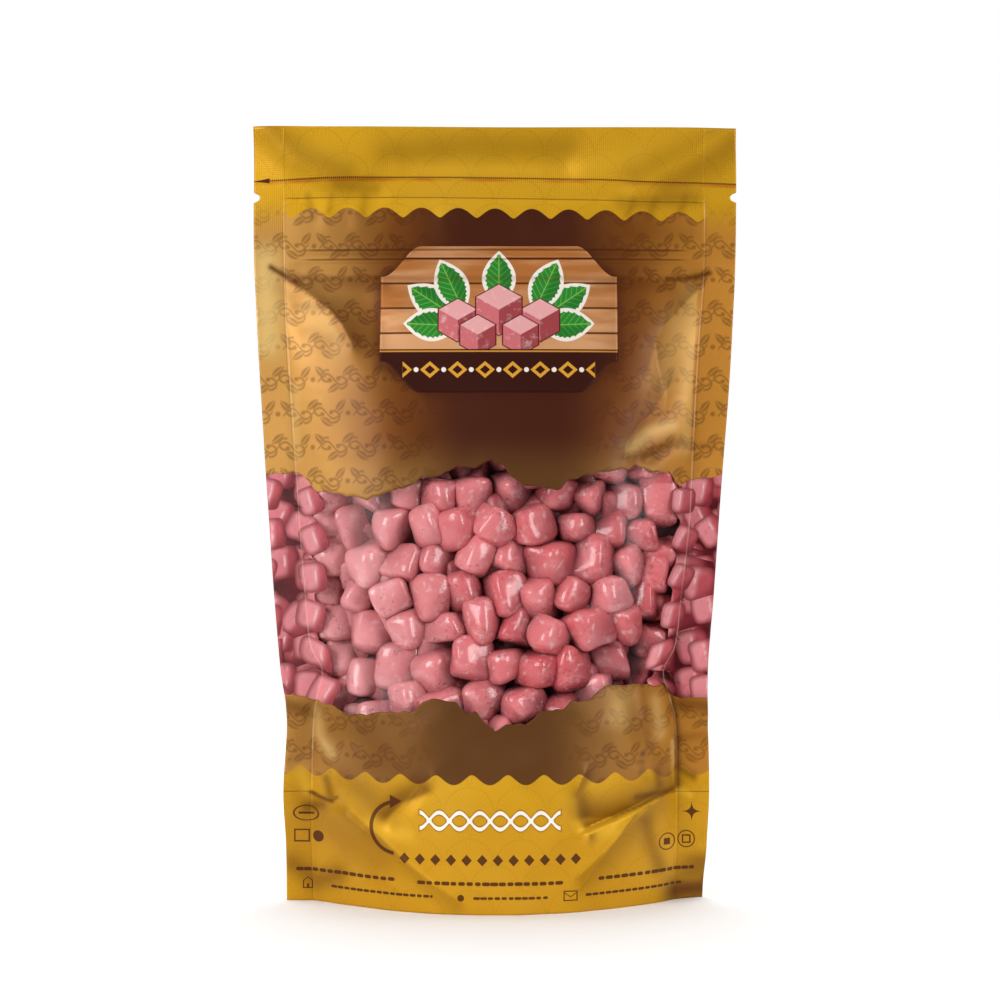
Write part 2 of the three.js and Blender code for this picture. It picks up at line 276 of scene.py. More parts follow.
def fold_relief(folds, x, z):
    total = np.zeros(np.shape(x))
    for f in folds:
        gap, to_right = away(f["route"], x, z)
        share = gap / (f["reach"] + (f["right"] - f["reach"]) * to_right)
        rise = f["rise"] + (f["right_rise"] - f["rise"]) * to_right
        total += rise * np.exp(-share if f["sharp"] else -share ** 2)
    return total


def waves(seed, count, longest, shortest, x, z):
    """A soft uneven surface of about one high, from waves in many directions."""
    rng = random.Random(seed)
    total = 0.0
    for _ in range(count):
        turn = rng.uniform(0, math.pi)
        length = rng.uniform(shortest, longest)
        phase = rng.uniform(0, 2 * math.pi)
        along = x * math.cos(turn) + z * math.sin(turn)
        total = total + np.sin(2 * math.pi * along / length + phase)
    return total / math.sqrt(count)


PANELS = {
    "front": {"folds": FRONT_FOLDS + puckers(11), "seed": 5},
    "back": {"folds": BACK_FOLDS + puckers(23), "seed": 8},
}


def droop(x):
    """How far the header's rows rise or fall across the pouch."""
    share = x / HEADER_HALF_WIDTH
    return DROOP_LIFT - DROOP_SLOPE * share - DROOP_BEND * share ** 2


def middle(x, z):
    """The sheet the two panels are sealed in: it waves a little at the header and the seals."""
    header, beyond = share_header(z), share_beyond(x, z)
    sway = 0.5 * np.sin(x / 33 + 0.6) + 0.5 * np.sin((x + 1.15 * z) / 14.5 + 0.4) * smooth(228, 240, z)
    sway = sway + 0.5 * np.sin((x - 0.6 * z) / 21.0 + 1.0)
    left = 0.8 * np.sin(z / 19 + 0.5) + 0.25 * np.sin(z / 6.1)
    right = 0.9 * np.sin(z / 23 + 2.2) + 0.25 * np.sin(z / 7.3)
    swing = beyond * smooth(0, 12, z) * np.where(x < 0, left, right)
    bent = fold_relief(SEALED_FOLDS, x, z) * np.maximum(header, beyond)
    return header * sway + swing + corner_curl(x, z) - bent


def stand_out(x, z, panel):
    """How far a panel stands out from the middle sheet."""
    share = share_across(x, z)
    belly = through(BELLY, z) * (1 - share ** through(ROUNDNESS, z)) ** through(FULLNESS, z)
    seed = PANELS[panel]["seed"]
    relief = fold_relief(PANELS[panel]["folds"], x, z)
    relief = relief + 0.35 * waves(seed, 6, 60, 26, x, z)
    relief = relief + 0.12 * smooth(170, 120, z) * waves(seed + 1, 8, 16, 10, x, z)
    relief = relief * pulled_flat(z)
    for ridge in ZIP_RIDGES:
        relief = relief + ZIP_RISE * np.exp(-((z - ridge) / ZIP_HALF_WIDTH) ** 2)
    gathers = waves(seed + 2, 5, 13, 6, x, 0.25 * z)
    relief = relief + 0.45 * gathers * np.exp(-((z - droop(x) - 225.0) / 4.6) ** 2)
    inside = 1 - share ** EDGE_OF_BELLY
    return np.maximum(SEALED_HALF + belly + relief * inside, 0.5 * SEALED_HALF)


def pulled_flat(z):
    """How much of the folds is left where the film is pulled flat towards the header."""
    return 0.1 + 0.9 * smooth(*HEADER_PULL, z)


def wrinkles(x, z, panel):
    """The folds alone, without the belly: how far they stand out."""
    stiff = np.maximum(share_header(z), share_beyond(x, z))
    bent = fold_relief(SEALED_FOLDS, x, z) * stiff - corner_curl(x, z)
    if panel == "back":
        bent = -bent
    inside = 1 - share_across(x, z) ** EDGE_OF_BELLY
    return bent + fold_relief(PANELS[panel]["folds"], x, z) * inside * pulled_flat(z)


def crease(route, strength, reach, right=None):
    """A stretch of painted light along a crease's route, shade or highlight as its list says, wider on one
    hand if right is given.
    """
    return {"route": route, "strength": strength, "reach": reach, "right": right or reach}


# Painted shade along the front's creases
FRONT_CREASE_SHADE = [crease(*row) for row in (
    # header
    ([(-73, 254), (-64, 247), (-50, 241)], 0.4, 4.5, 6.0),
    ([(-36, 247), (-8, 250), (24, 250)], 0.3, 6.0, 5.0),
    ([(57, 236), (68, 243), (79, 251)], 0.42, 4.5, 6.5),
    ([(42, 231), (66, 232)], 0.32, 3.0),
    ([(-52, 236.5), (-40, 235.5)], 0.3, 2.4),
    ([(-62, 233), (-60, 226)], 0.3, 1.4),
    ([(-54, 233), (-55, 228)], 0.24, 1.2),
    ([(-43, 233), (-44, 227)], 0.26, 1.6),
    ([(46, 232), (44, 227)], 0.26, 1.3),
    ([(53, 232), (51, 226)], 0.3, 1.6),
    ([(63, 233), (61, 227)], 0.26, 1.4),
    ([(46, 222), (64, 221)], 0.2, 4.0),
    # left shoulder
    ([(-74.3, 209.6), (-70.8, 207.4), (-65.8, 204.2)], 0.95, 1.0),
    ([(-66, 203.8), (-60, 199.6), (-55, 196), (-50, 190.6), (-46.6, 184)], 0.6, 7.0, 0.6),
    ([(-72, 203), (-68, 200)], 0.2, 3.0),
    ([(-64, 206.2), (-50, 205.2), (-36, 203.6)], 0.4, 1.1, 2.8),
    ([(-66, 196.5), (-58, 196)], 0.26, 1.6),
    ([(-54, 184), (-46, 166)], 0.16, 7.0),
    ([(-62, 188), (-55, 185)], 0.2, 2.4),
    # right shoulder
    ([(57, 205.4), (63, 205.8), (71, 207.6)], 0.85, 0.9),
    ([(46, 200), (42, 186), (40, 172)], 0.3, 7.0),
    ([(34, 205), (50, 204.4), (58, 203.4)], 0.4, 1.0, 3.0),
    ([(68, 204), (60, 195.6), (54, 189.4), (52, 184), (50, 177)], 0.5, 0.7, 6.0),
    ([(57, 171), (50, 160.5), (45, 154.6), (42.6, 149)], 0.4, 0.8, 5.0),
    ([(46, 146.4), (53, 147.6), (61, 151.4)], 0.5, 1.6),
    ([(62, 150.6), (72, 150)], 0.3, 1.4),
    # waist and foot, left
    ([(-71, 65), (-62, 63)], 0.6, 3.0),
    ([(-43, 60), (-37, 50)], 0.34, 8.0),
    ([(-35, 31), (-30, 36), (-22.5, 39.4)], 0.75, 5.0, 1.2),
    ([(-61, 35.8), (-57, 34.8), (-53.4, 34)], 1.0, 0.7),
    ([(-62.4, 31), (-57, 32.4)], 0.6, 2.0),
    ([(-55.4, 41.4), (-53.8, 36)], 0.6, 1.7),
    ([(-49, 42), (-41, 37.6)], 0.36, 4.5),
    ([(-67, 12), (-59, 6.6), (-52, 9.6)], 0.6, 4.2),
    ([(-47, 31), (-38, 24), (-30, 17), (-20, 9), (-12, 4)], 0.34, 0.6, 4.5),
    ([(-57, 29), (-48, 22), (-40, 16)], 0.24, 5.0),
    # waist and foot, right
    ([(29, 31), (38, 30.6), (46, 33), (58, 37.2)], 0.7, 7.5, 0.7),
    ([(27, 38.5), (29, 32)], 0.5, 2.6),
    ([(46, 36), (58.4, 37)], 0.7, 1.1),
    ([(54, 34), (44, 27), (36, 19), (28, 12)], 0.42, 6.0, 0.6),
    ([(49, 28), (51, 20), (54, 12)], 0.5, 2.8),
    ([(52.8, 43.8), (53.8, 39.2)], 0.55, 1.5),
    ([(54.3, 73.5), (58.4, 67), (59.9, 58), (60, 38)], 0.7, 1.1, 0.4),
    ([(61.6, 65.2), (71, 64.2)], 0.7, 3.2),
    ([(60.6, 44), (65.6, 41)], 0.65, 1.5),
    ([(61, 53.6), (70, 55)], 0.3, 1.8),
    ([(46, 72), (49, 56)], 0.42, 2.6),
    ([(73, 9), (70, 3), (60, 3)], 0.97, 5.0),
    ([(50, 51), (54, 45)], 0.24, 2.4),
)]
# Painted shade along the back's creases
BACK_CREASE_SHADE = [crease(*row) for row in (
    ([(-72, 208), (-64, 203), (-54, 195), (-46, 182)], 0.5, 6.0, 0.8),
    ([(71, 208), (62, 202), (54, 193), (47, 180)], 0.5, 0.8, 6.5),
    ([(-60, 205.6), (60, 205.2)], 0.3, 1.0, 3.0),
    ([(-58, 150), (-46, 140), (-40, 128)], 0.2, 5.0),
    ([(52, 120), (44, 108)], 0.2, 5.0),
    ([(-55, 37), (-42, 37.4), (-28, 35.4)], 0.5, 4.6, 0.8),
    ([(57, 36), (46, 38.4), (34, 40)], 0.5, 4.2, 0.8),
    ([(-46, 30), (-34, 18), (-22, 8)], 0.3, 0.7, 5.0),
    ([(44, 31), (34, 20), (26, 10)], 0.3, 4.6, 0.7),
)]
# Painted highlights along the front's creases
CREASE_HIGHLIGHTS = [crease(*row) for row in (
    ([(-61, 197), (-55, 191.6), (-50.6, 184)], 0.2, 0.8, 6.0),
    ([(-76, 212), (-75.4, 184)], 0.75, 4.5),
    ([(-66, 170), (-65.4, 146)], 0.3, 1.4),
    ([(66.4, 201), (65, 176), (64, 150)], 0.32, 0.6, 4.5),
    ([(60, 190), (56, 172)], 0.22, 6.0),
    ([(44, 149.4), (50, 154.4), (58, 157)], 0.38, 2.4),
    ([(-59, 63), (-58, 54.6), (-53.8, 50)], 0.38, 2.2),
    ([(-64.6, 41.8), (-62.6, 37.4)], 0.5, 2.4),
    ([(-39, 29), (-34, 25.4), (-28, 25)], 0.4, 3.0),
    ([(-47, 32), (-38, 25), (-30, 18), (-20, 10)], 0.24, 0.9, 0.5),
    ([(31, 25.6), (37, 26.6)], 0.4, 3.0),
    ([(57, 38), (47, 33.6), (38, 27.6)], 0.3, 0.9),
    ([(25.6, 36), (26.6, 29)], 0.3, 1.5),
    ([(42, 69), (40, 62)], 0.25, 3.6),
    ([(52.6, 67), (54, 56)], 0.3, 2.2),
    ([(58.5, 53), (58.6, 39.4)], 0.5, 0.8),
    ([(61, 36.6), (64.6, 35)], 0.4, 1.2),
    ([(-66, 249), (-52, 244)], 0.2, 3.0),
    ([(26, 243), (48, 246)], 0.2, 4.0),
    ([(-26, 241.6), (14, 242)], 0.18, 2.0),
)]


def along_creases(creases, x, z):
    """0 to 1: how strong the painted light of the given creases is at a place: shade for the shaded lists,
    highlight for the highlight list.
    """
    plain = np.ones(np.shape(x))
    for c in creases:
        gap, to_right = away(c["route"], x, z)
        share = gap / (c["reach"] + (c["right"] - c["reach"]) * to_right)
        plain = plain * (1 - c["strength"] * np.exp(-share ** 2))
    return 1 - plain


LEAN_STEP = 0.5


def painted_shade(x, z, panel):
    """0 to 1: painted shade where the folds turn the film down and to the right, at the curled corner and
    along the shaded creases.
    """
    rise = wrinkles(x, z + LEAN_STEP, panel) - wrinkles(x, z - LEAN_STEP, panel)
    drift = wrinkles(x + LEAN_STEP, z, panel) - wrinkles(x - LEAN_STEP, z, panel)
    lean = (0.8 * rise - 0.6 * drift) / (2 * LEAN_STEP)
    steep = np.maximum(smooth(0.05, 0.5, lean) * 0.6, 0.6 * corner_curl(x, z) / CORNER_CURL)
    return np.maximum(steep, along_creases(FRONT_CREASE_SHADE if panel == "front" else BACK_CREASE_SHADE, x, z))


def corner_curl(x, z):
    """How far the lower right corner of the seal curls back."""
    return CORNER_CURL * smooth(52, 73, x) * smooth(20, 2, z)


def on_panel(x, z, panel, lift=0.0):
    """The panel's points at (x, z), lifted clear of the film by lift."""
    out = stand_out(x, z, panel) + lift
    y = middle(x, z) + (-out if panel == "front" else out)
    return x, y, z


# ---- Sheets of film ----

def add_object(name, data):
    thing = bpy.data.objects.new(name, data)
    bpy.context.scene.collection.objects.link(thing)
    return thing


def mesh_from(bm, name):
    """The mesh of a finished bmesh, which is freed."""
    mesh = bpy.data.meshes.new(name)
    bm.to_mesh(mesh)
    bm.free()
    return mesh


def points_of(mesh):
    """A mesh's points as rows of x, y and z."""
    flat = np.empty(len(mesh.vertices) * 3)
    mesh.vertices.foreach_get("co", flat)
    return flat.reshape(-1, 3)


def add_numbers(mesh, name, numbers):
    """Numbers on a mesh's points, for its material to read."""
    mesh.attributes.new(name, "FLOAT", "POINT").data.foreach_set("value", numbers)


def new_piece(name, mesh, material, body="root"):
    piece = add_object(name, mesh)
    piece.data.materials.append(material)
    for polygon in mesh.polygons:
        polygon.use_smooth = True
    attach(piece, body)
    return piece


def sheet_mesh(name, columns, rows, place):
    """A grid whose points are sent to their places: place takes two arrays from 0 to 1."""
    bm = bmesh.new()
    bmesh.ops.create_grid(bm, x_segments=columns, y_segments=rows, size=1)
    mesh = mesh_from(bm, name)
    grid = points_of(mesh)
    x, y, z = place((grid[:, 0] + 1) / 2, (grid[:, 1] + 1) / 2)
    mesh.vertices.foreach_set("co", (np.stack([x, y, z], 1) * MM).ravel())
    mesh.update()
    return mesh


def thicken(piece, thickness):
    """Gives a sheet its wall, inwards from its face."""
    wall = piece.modifiers.new("film", "SOLIDIFY")
    wall.thickness = thickness * MM
    wall.offset = -1
    return piece


SEAL_SHARE = 0.075
CROWDING = 0.45


def across(a, z):
    """Place across the pouch: a seal, the belly with closer steps by the seams, a seal."""
    left_edge, right_edge = edge(-1.0, z), edge(1.0, z)
    left_seam, right_seam = seam(-1.0, z), seam(1.0, z)
    inner = np.clip((a - SEAL_SHARE) / (1 - 2 * SEAL_SHARE), 0, 1) * 2 - 1
    spread = (1 - CROWDING) * inner + CROWDING * np.sin(inner * math.pi / 2)
    belly = np.where(inner < 0, spread * left_seam, spread * right_seam)
    left = -left_edge + (left_edge - left_seam) * np.clip(a / SEAL_SHARE, 0, 1)
    right = right_edge - (right_edge - right_seam) * np.clip((1 - a) / SEAL_SHARE, 0, 1)
    return np.where(a < SEAL_SHARE, left, np.where(a > 1 - SEAL_SHARE, right, belly))


TOOTH_SPOTS = np.arange(-84, 85, 1.7)
TOOTH_HEIGHT = 0.45
TOP_TEETH = 3
BOTTOM_TEETH = 4


def torn(edge_points, seed, x):
    """A torn-looking edge: its main run, with small teeth."""
    rng = random.Random(seed)
    teeth = np.array([rng.uniform(-TOOTH_HEIGHT, TOOTH_HEIGHT) for _ in TOOTH_SPOTS])
    main = np.interp(x, [p[0] for p in edge_points], [p[1] for p in edge_points])
    return main + np.interp(x, TOOTH_SPOTS, teeth)


def band_top(x):
    return torn(BAND_TOP, TOP_TEETH, x)


def band_bottom(x):
    return torn(BAND_BOTTOM, BOTTOM_TEETH, x)


def ladder(stretches):
    """Row heights from (start, end, step) stretches."""
    rows = [stretches[0][0]]
    for start, end, step in stretches:
        count = max(1, round((end - start) / step))
        rows += [start + (end - start) * k / count for k in range(1, count + 1)]
    return np.array(rows)


HEADER_ROWS = [(206, 220, 0.4), (220, 230.5, 0.9), (230.5, 235, 0.35), (235, HEIGHT, 1.0)]
TOP_ROWS = ladder([(136, 206, 0.85)] + HEADER_ROWS)
FOOT_ROWS = ladder([(0, 66, 0.65)])
BACK_ROWS = ladder([(0, 206, 1.2)] + HEADER_ROWS)
COLUMNS = 240
TOP_SETTLED = 160.0
FOOT_SETTLED = 46.0


def torn_panel(heights, settled, torn_end, torn_edge):
    """A front panel: beyond the settled height its rows crowd up to the torn edge."""
    def place(a, b):
        rows = heights[np.rint(b * (len(heights) - 1)).astype(int)]
        shares = (rows - settled) / (torn_end - settled)
        x = across(a, rows)
        for _ in range(2):
            z = np.where(shares > 0, settled + shares * (torn_edge(x) - settled), rows)
            x = across(a, z)
        return on_panel(x, z, "front")
    return place


upper_front = torn_panel(TOP_ROWS, TOP_SETTLED, TOP_ROWS[0], band_top)
lower_front = torn_panel(FOOT_ROWS, FOOT_SETTLED, FOOT_ROWS[-1], band_bottom)

BAND_LOW = 66.0
BAND_TALL = 75.0
COLUMN_PERIOD = 12.6
COLUMN_HALF = 5.2
COLUMN_INWARD = 2.8
COLUMN_STRAY = 4.0
COLUMN_TURN = 0.8
COLUMN_SMALLEST = 0.8
COLUMN_LEAST = 3.4
COLUMN_EVEN = 6.0


def column_reach(side, z):
    """How far inside the seam the column of pictured sweets along it reaches at a height."""
    row = np.floor(z / COLUMN_PERIOD)
    luck = 0.5 + 0.5 * np.sin(12.99 * row + side)
    other = 0.5 + 0.5 * np.sin(7.23 * row + 2 * side + 1)
    turn = (other - 0.5) * COLUMN_TURN
    half = COLUMN_HALF * (COLUMN_SMALLEST + (1 - COLUMN_SMALLEST) * luck)
    up = z - (row + 0.5) * COLUMN_PERIOD
    reach = np.full(np.shape(z), COLUMN_LEAST)
    for inward in np.arange(COLUMN_LEAST, 13.0, 0.2):
        beside = (COLUMN_INWARD + (other - 0.5) * COLUMN_STRAY - inward) * side
        a = beside * np.cos(turn) + up * np.sin(turn)
        b = up * np.cos(turn) - beside * np.sin(turn)
        reach = np.where(a ** 4 + b ** 4 < half ** 4, inward, reach)
    return reach


def seal_strip(side):
    """The printed film between the torn edges on one side seal. Its inner edge follows the picture."""
    def level(out, b):
        """Height of a point that lies a share of the way out from the column's even reach."""
        z = BAND_LOW + BAND_TALL * b
        for _ in range(4):
            x = side * (seam(side, z) - COLUMN_EVEN + (edge(side, z) - seam(side, z) + COLUMN_EVEN) * out)
            low, high = band_bottom(x), band_top(x)
            z = low + (high - low) * b
        return z

    def place(a, b):
        out = a if side > 0 else 1 - a
        z = level(out, b)
        uneven = smooth(0.0, 0.05, b) * smooth(0.0, 0.05, 1 - b)
        reach = COLUMN_EVEN + (column_reach(side, level(0.0 * out, b)) - COLUMN_EVEN) * uneven
        inner = seam(side, z) - reach
        return on_panel(side * (inner + (edge(side, z) - inner) * out), z, "front")
    return place


WINDOW_SHARE = 0.975
WINDOW_LAP = 1.5
WINDOW_UNDER = 0.25


def clear_front(a, b):
    """The clear band, just under the printed film and a little larger than the opening."""
    z = BAND_LOW + BAND_TALL * b
    for _ in range(3):
        x = across(SEAL_SHARE + (1 - 2 * SEAL_SHARE) * a, z) * WINDOW_SHARE
        low, high = band_bottom(x) - WINDOW_LAP, band_top(x) + WINDOW_LAP
        z = low + (high - low) * b
    return on_panel(x, z, "front", -WINDOW_UNDER)


def back(a, b):
    z = BACK_ROWS[np.rint(b * (len(BACK_ROWS) - 1)).astype(int)]
    return on_panel(across(1 - a, z), z, "back")


GUSSET_SHARE = 0.995
GUSSET_RIM = 2.5
GUSSET_INSIDE = 0.3
GUSSET_ARCH = 1.0
GUSSET_END_RISE = 9.0


def gusset(a, b):
    """The opened bottom fold, inside the rim: nearly flat in the middle, and raised at its two ends."""
    side = 2 * a - 1
    low = np.zeros(np.shape(a))
    x = side * np.where(side < 0, seam(-1.0, low), seam(1.0, low)) * GUSSET_SHARE
    front = on_panel(x, low + GUSSET_RIM, "front", -GUSSET_INSIDE)[1]
    rear = on_panel(x, low + GUSSET_RIM, "back", -GUSSET_INSIDE)[1]
    y = rear + (front - rear) * b
    inward = 1 - (2 * b - 1) ** 2
    z = GUSSET_RIM + inward * (GUSSET_ARCH + GUSSET_END_RISE * smooth(0.6, 1.0, np.abs(side)))
    return x, y, z


# ---- The heap of sweets ----

SWEET_SIZE = 12.8
SIZE_SPREAD = 0.45
HEAP_LOW = 58
HEAP_HIGH = 150
HEAP_REACH = 58
ROW_STEP = 10.6
COLUMN_STEP = 11.6
SCATTER = 5
HEAP_SEED = 2024
SETTLE_STEPS = 40
SETTLE_SHARE = 0.25
TOUCHING = 0.94
DEEPEST_DROP = 4.6
CLEARANCE = 0.45
CORE_DEPTH = 12.6
SECOND_DEPTH = 6.0
HEAP_SHARE = 0.955
STRIP_SHARE = 0.965
TURNS = ((-0.22, 0.22), (-0.55, 0.55), (0.3, 1.2))
BLUNTNESS = (3.1, 4.8)
DENTS = 5
DENT_DEPTH = 0.034
DENT_PACE = 3.6
LEAN = 0.15
TAPER = 0.1
TWIST = 0.25


class Draw:
    """The same run of numbers from 0 to 1 each time, as the solids' heap has it."""

    def __init__(self, seed):
        self.state = seed

    def __call__(self):
        self.state = (self.state * 1664525 + 1013904223) % 2 ** 32
        return self.state / 2 ** 32


def heap_layout(seed, shift):
    """Places, sizes and turns of one layer of sweets, in rows that are then let settle."""
    draw = Draw(seed)
    sweets = []
    shifted = False
    z = HEAP_LOW + shift
    while z <= HEAP_HIGH:
        x = -HEAP_REACH + (COLUMN_STEP / 2 if shifted else 0)
        while x <= HEAP_REACH:
            spot = [x + (draw() - 0.5) * SCATTER, z + (draw() - 0.5) * SCATTER]
            drop = draw() * DEEPEST_DROP
            size = [SWEET_SIZE * (1 + (draw() - 0.5) * SIZE_SPREAD) for _ in range(3)]
            turn = [least + draw() * (most - least) for least, most in TURNS]
            sweets.append({"spot": spot, "drop": drop, "size": size, "turn": turn})
            x += COLUMN_STEP
        shifted = not shifted
        z += ROW_STEP
    for _ in range(SETTLE_STEPS):
        settle(sweets)
        for sweet in sweets:
            x, z = sweet["spot"]
            reach = HEAP_SHARE * float(seam(x, z)) - sweet["size"][0] / 2
            sweet["spot"] = [max(-reach, min(reach, x)), z]
    return sweets


def settle(sweets):
    """One step of pushing apart the sweets that lie too close."""
    for i, a in enumerate(sweets):
        for b in sweets[i + 1:]:
            dx, dz = b["spot"][0] - a["spot"][0], b["spot"][1] - a["spot"][1]
            apart = math.hypot(dx, dz)
            wanted = TOUCHING * (a["size"][0] + b["size"][0]) / 2
            if 0 < apart < wanted:
                push = SETTLE_SHARE * (wanted - apart) / apart
                a["spot"] = [a["spot"][0] - push * dx, a["spot"][1] - push * dz]
                b["spot"] = [b["spot"][0] + push * dx, b["spot"][1] + push * dz]


def soft_cube(cuts):
    """A unit cube cut into a grid, before its points are rounded."""
    bm = bmesh.new()
    bmesh.ops.create_cube(bm, size=1)
    bmesh.ops.subdivide_edges(bm, edges=bm.edges, cuts=cuts, use_grid_fill=True)
    bmesh.ops.recalc_face_normals(bm, faces=bm.faces)
    return mesh_from(bm, "soft_cube")


def sweet_points(sweet, cube, rng):
    """The cube's points as one sweet: rounded, uneven, turned and laid against the film."""
    bluntness = rng.uniform(*BLUNTNESS)
    p = np.sin(cube * math.pi)
    p = p / (np.abs(p) ** bluntness).sum(1, keepdims=True) ** (1 / bluntness)
    for _ in range(DENTS):
        way = np.array([rng.uniform(-DENT_PACE, DENT_PACE) for _ in range(3)])
        p = p * (1 + DENT_DEPTH * np.sin(p @ way + rng.uniform(0, 6.28)))[:, None]
    lean, taper, twist = rng.uniform(-LEAN, LEAN), rng.uniform(-TAPER, TAPER), rng.uniform(-TWIST, TWIST)
    p[:, 0] += lean * p[:, 1]
    p[:, [0, 1]] *= (1 + taper * p[:, 2])[:, None]
    angle = twist * p[:, 2]
    across_it, along_it = p[:, 0].copy(), p[:, 1].copy()
    p[:, 0] = across_it * np.cos(angle) - along_it * np.sin(angle)
    p[:, 1] = across_it * np.sin(angle) + along_it * np.cos(angle)
    p = p * np.array(sweet["size"]) / 2
    x, z = sweet["spot"]
    half = sweet["size"][0] / 2
    slope = (film_y(x + half, z, "front") - film_y(x - half, z, "front")) / (2 * half)
    turn = Matrix.Rotation(math.atan(slope) + sweet["turn"][2], 3, "Z")
    turn = turn @ Matrix.Rotation(sweet["turn"][1], 3, "Y") @ Matrix.Rotation(sweet["turn"][0], 3, "X")
    p = p @ np.array(turn).T
    outer = x + math.copysign(0.6 * half, x)
    room = film_y(outer, z, "back") - film_y(outer, z, "front") - 2 * CLEARANCE
    depth = np.ptp(p[:, 1])
    p[:, 1] *= min(1.0, room / depth)
    p = p + np.array([x, 0, z])
    behind = p[:, 1] - film_y(p[:, 0], p[:, 2], "front")
    p[:, 1] += CLEARANCE + min(sweet["drop"], max(0.0, room - depth)) - behind.min()
    reach = STRIP_SHARE * seam(p[:, 0], p[:, 2])
    p[:, 0] = np.clip(p[:, 0], -reach, reach)
    p[:, 1] = np.minimum(p[:, 1], film_y(p[:, 0], p[:, 2], "back") - CLEARANCE)
    return p


def film_y(x, z, panel):
    return on_panel(np.asarray(x, float), np.asarray(z, float), panel)[1]


def sweets_piece(name, layout, cuts, material, seed):
    """One layer of sweets, as one joined mesh."""
    rng = random.Random(seed)
    cube = soft_cube(cuts)
    corners = points_of(cube)
    bm = bmesh.new()
    placed = []
    for sweet in layout:
        bm.from_mesh(cube)
        placed.append(sweet_points(sweet, corners, rng))
    mesh = mesh_from(bm, name)
    bpy.data.meshes.remove(cube)
    points = np.concatenate(placed)
    mesh.vertices.foreach_set("co", (points * MM).ravel())
    add_numbers(mesh, "tone", np.repeat([rng.random() for _ in layout], len(corners)))
    # How far behind the film each point lies; the material darkens deep points as painted shade
    add_numbers(mesh, "sunk", points[:, 1] - film_y(points[:, 0], points[:, 2], "front"))
    middles = np.repeat([p.mean(0) for p in placed], len(corners), axis=0)
    beyond = (points - middles) / (SWEET_SIZE / 2)
    # Painted shade on each sweet's right and lower side
    add_numbers(mesh, "painted_shade", smooth(-0.1, 1.0, 0.85 * beyond[:, 0] - 0.4 * beyond[:, 2]))
    mesh.update()
    return new_piece(name, mesh, material)


CORE_LOW = 60
CORE_TALL = 88
CORE_SHARE = 0.96
CORE_LUMPS = 1.6
CORE_NEAREST_MIDDLE = -1.2


def heap_core(a, b):
    """The lumpy inside of the heap, behind the sweets that show: a dark sheet that stands in for the shade
    deeper in.
    """
    z = CORE_LOW + CORE_TALL * b
    x = (2 * a - 1) * CORE_SHARE * seam(2 * a - 1, z)
    film = on_panel(x, z, "front")[1]
    lumps = CORE_LUMPS * waves(77, 10, 19, 11, x, z)
    deepest = np.maximum(0.5 * film, CORE_NEAREST_MIDDLE)
    return x, np.minimum(film + CORE_DEPTH + lumps, deepest), z


# ---- Numbers and colours that vary over a piece, as shader nodes ----

def srgb(code):
    """A colour from its hex code, for a shader."""
    parts = [int(code[i:i + 2], 16) / 255 for i in (1, 3, 5)]
    return tuple(c / 12.92 if c <= 0.04045 else ((c + 0.055) / 1.055) ** 2.4 for c in parts) + (1.0,)


class Varying:
    """A number that varies over a piece, worked out by Math nodes."""

    def __init__(self, socket):
        self.socket = socket
        self.tree = socket.id_data

    def plug(self, socket, term):
        if isinstance(term, Varying):
            self.tree.links.new(term.socket, socket)
        else:
            socket.default_value = term

    def math(self, operation, *others):
        node = self.tree.nodes.new("ShaderNodeMath")
        node.operation = operation
        for socket, term in zip(node.inputs, (self, *others)):
            self.plug(socket, term)
        return Varying(node.outputs[0])

    def ramp(self, low, high, start=0.0, end=1.0):
        """Goes smoothly from start at low to end at high."""
        node = self.tree.nodes.new("ShaderNodeMapRange")
        node.interpolation_type = "SMOOTHSTEP"
        for socket, term in zip(node.inputs, (self, low, high, start, end)):
            self.plug(socket, term)
        return Varying(node.outputs[0])

    def __add__(self, other):
        return self.math("ADD", other)

    def __sub__(self, other):
        return self.math("SUBTRACT", other)

    def __mul__(self, other):
        return self.math("MULTIPLY", other)

    def __truediv__(self, other):
        return self.math("DIVIDE", other)

    def __pow__(self, other):
        return self.math("POWER", other)

    def __neg__(self):
        return self * -1.0

    def __abs__(self):
        return self.math("ABSOLUTE")

    __radd__ = __add__
    __rmul__ = __mul__

    def __rtruediv__(self, other):
        return self ** -1.0 * other

    def __rsub__(self, other):
        return -self + other

    def sin(self):
        return self.math("SINE")

    def cos(self):
        return self.math("COSINE")

    def floor(self):
        return self.math("FLOOR")

    def least(self, other):
        return self.math("MINIMUM", other)

    def most(self, other):
        return self.math("MAXIMUM", other)

    def far(self, other):
        """Length of the two as the sides of a right angle."""
        return (self * self + other * other).math("SQRT")

    def repeat(self, length):
        """Distance from the middle of the stretch it falls in, of stretches of one length."""
        return self - ((self / length).floor() + 0.5) * length


def cover(under, over, where):
    """A colour, covered by another as far as a number from 0 to 1 says. A hex code is a colour too."""
    node = where.tree.nodes.new("ShaderNodeMix")
    node.data_type = "RGBA"
    node.clamp_factor = True
    where.plug(node.inputs[0], where)
    for socket, colour in ((node.inputs[6], under), (node.inputs[7], over)):
        if isinstance(colour, str):
            socket.default_value = srgb(colour)
        else:
            where.tree.links.new(colour, socket)
    return node.outputs[2]


def covered(ground, *layers):
    """A colour under layers, each with a colour and the number that says how far it covers."""
    for colour, where in layers:
        ground = cover(ground, colour, where)
    return ground


def crisp(distance, soft=0.12):
    """1 inside a shape and 0 outside, from the distance to its outline."""
    return distance.ramp(soft, -soft)


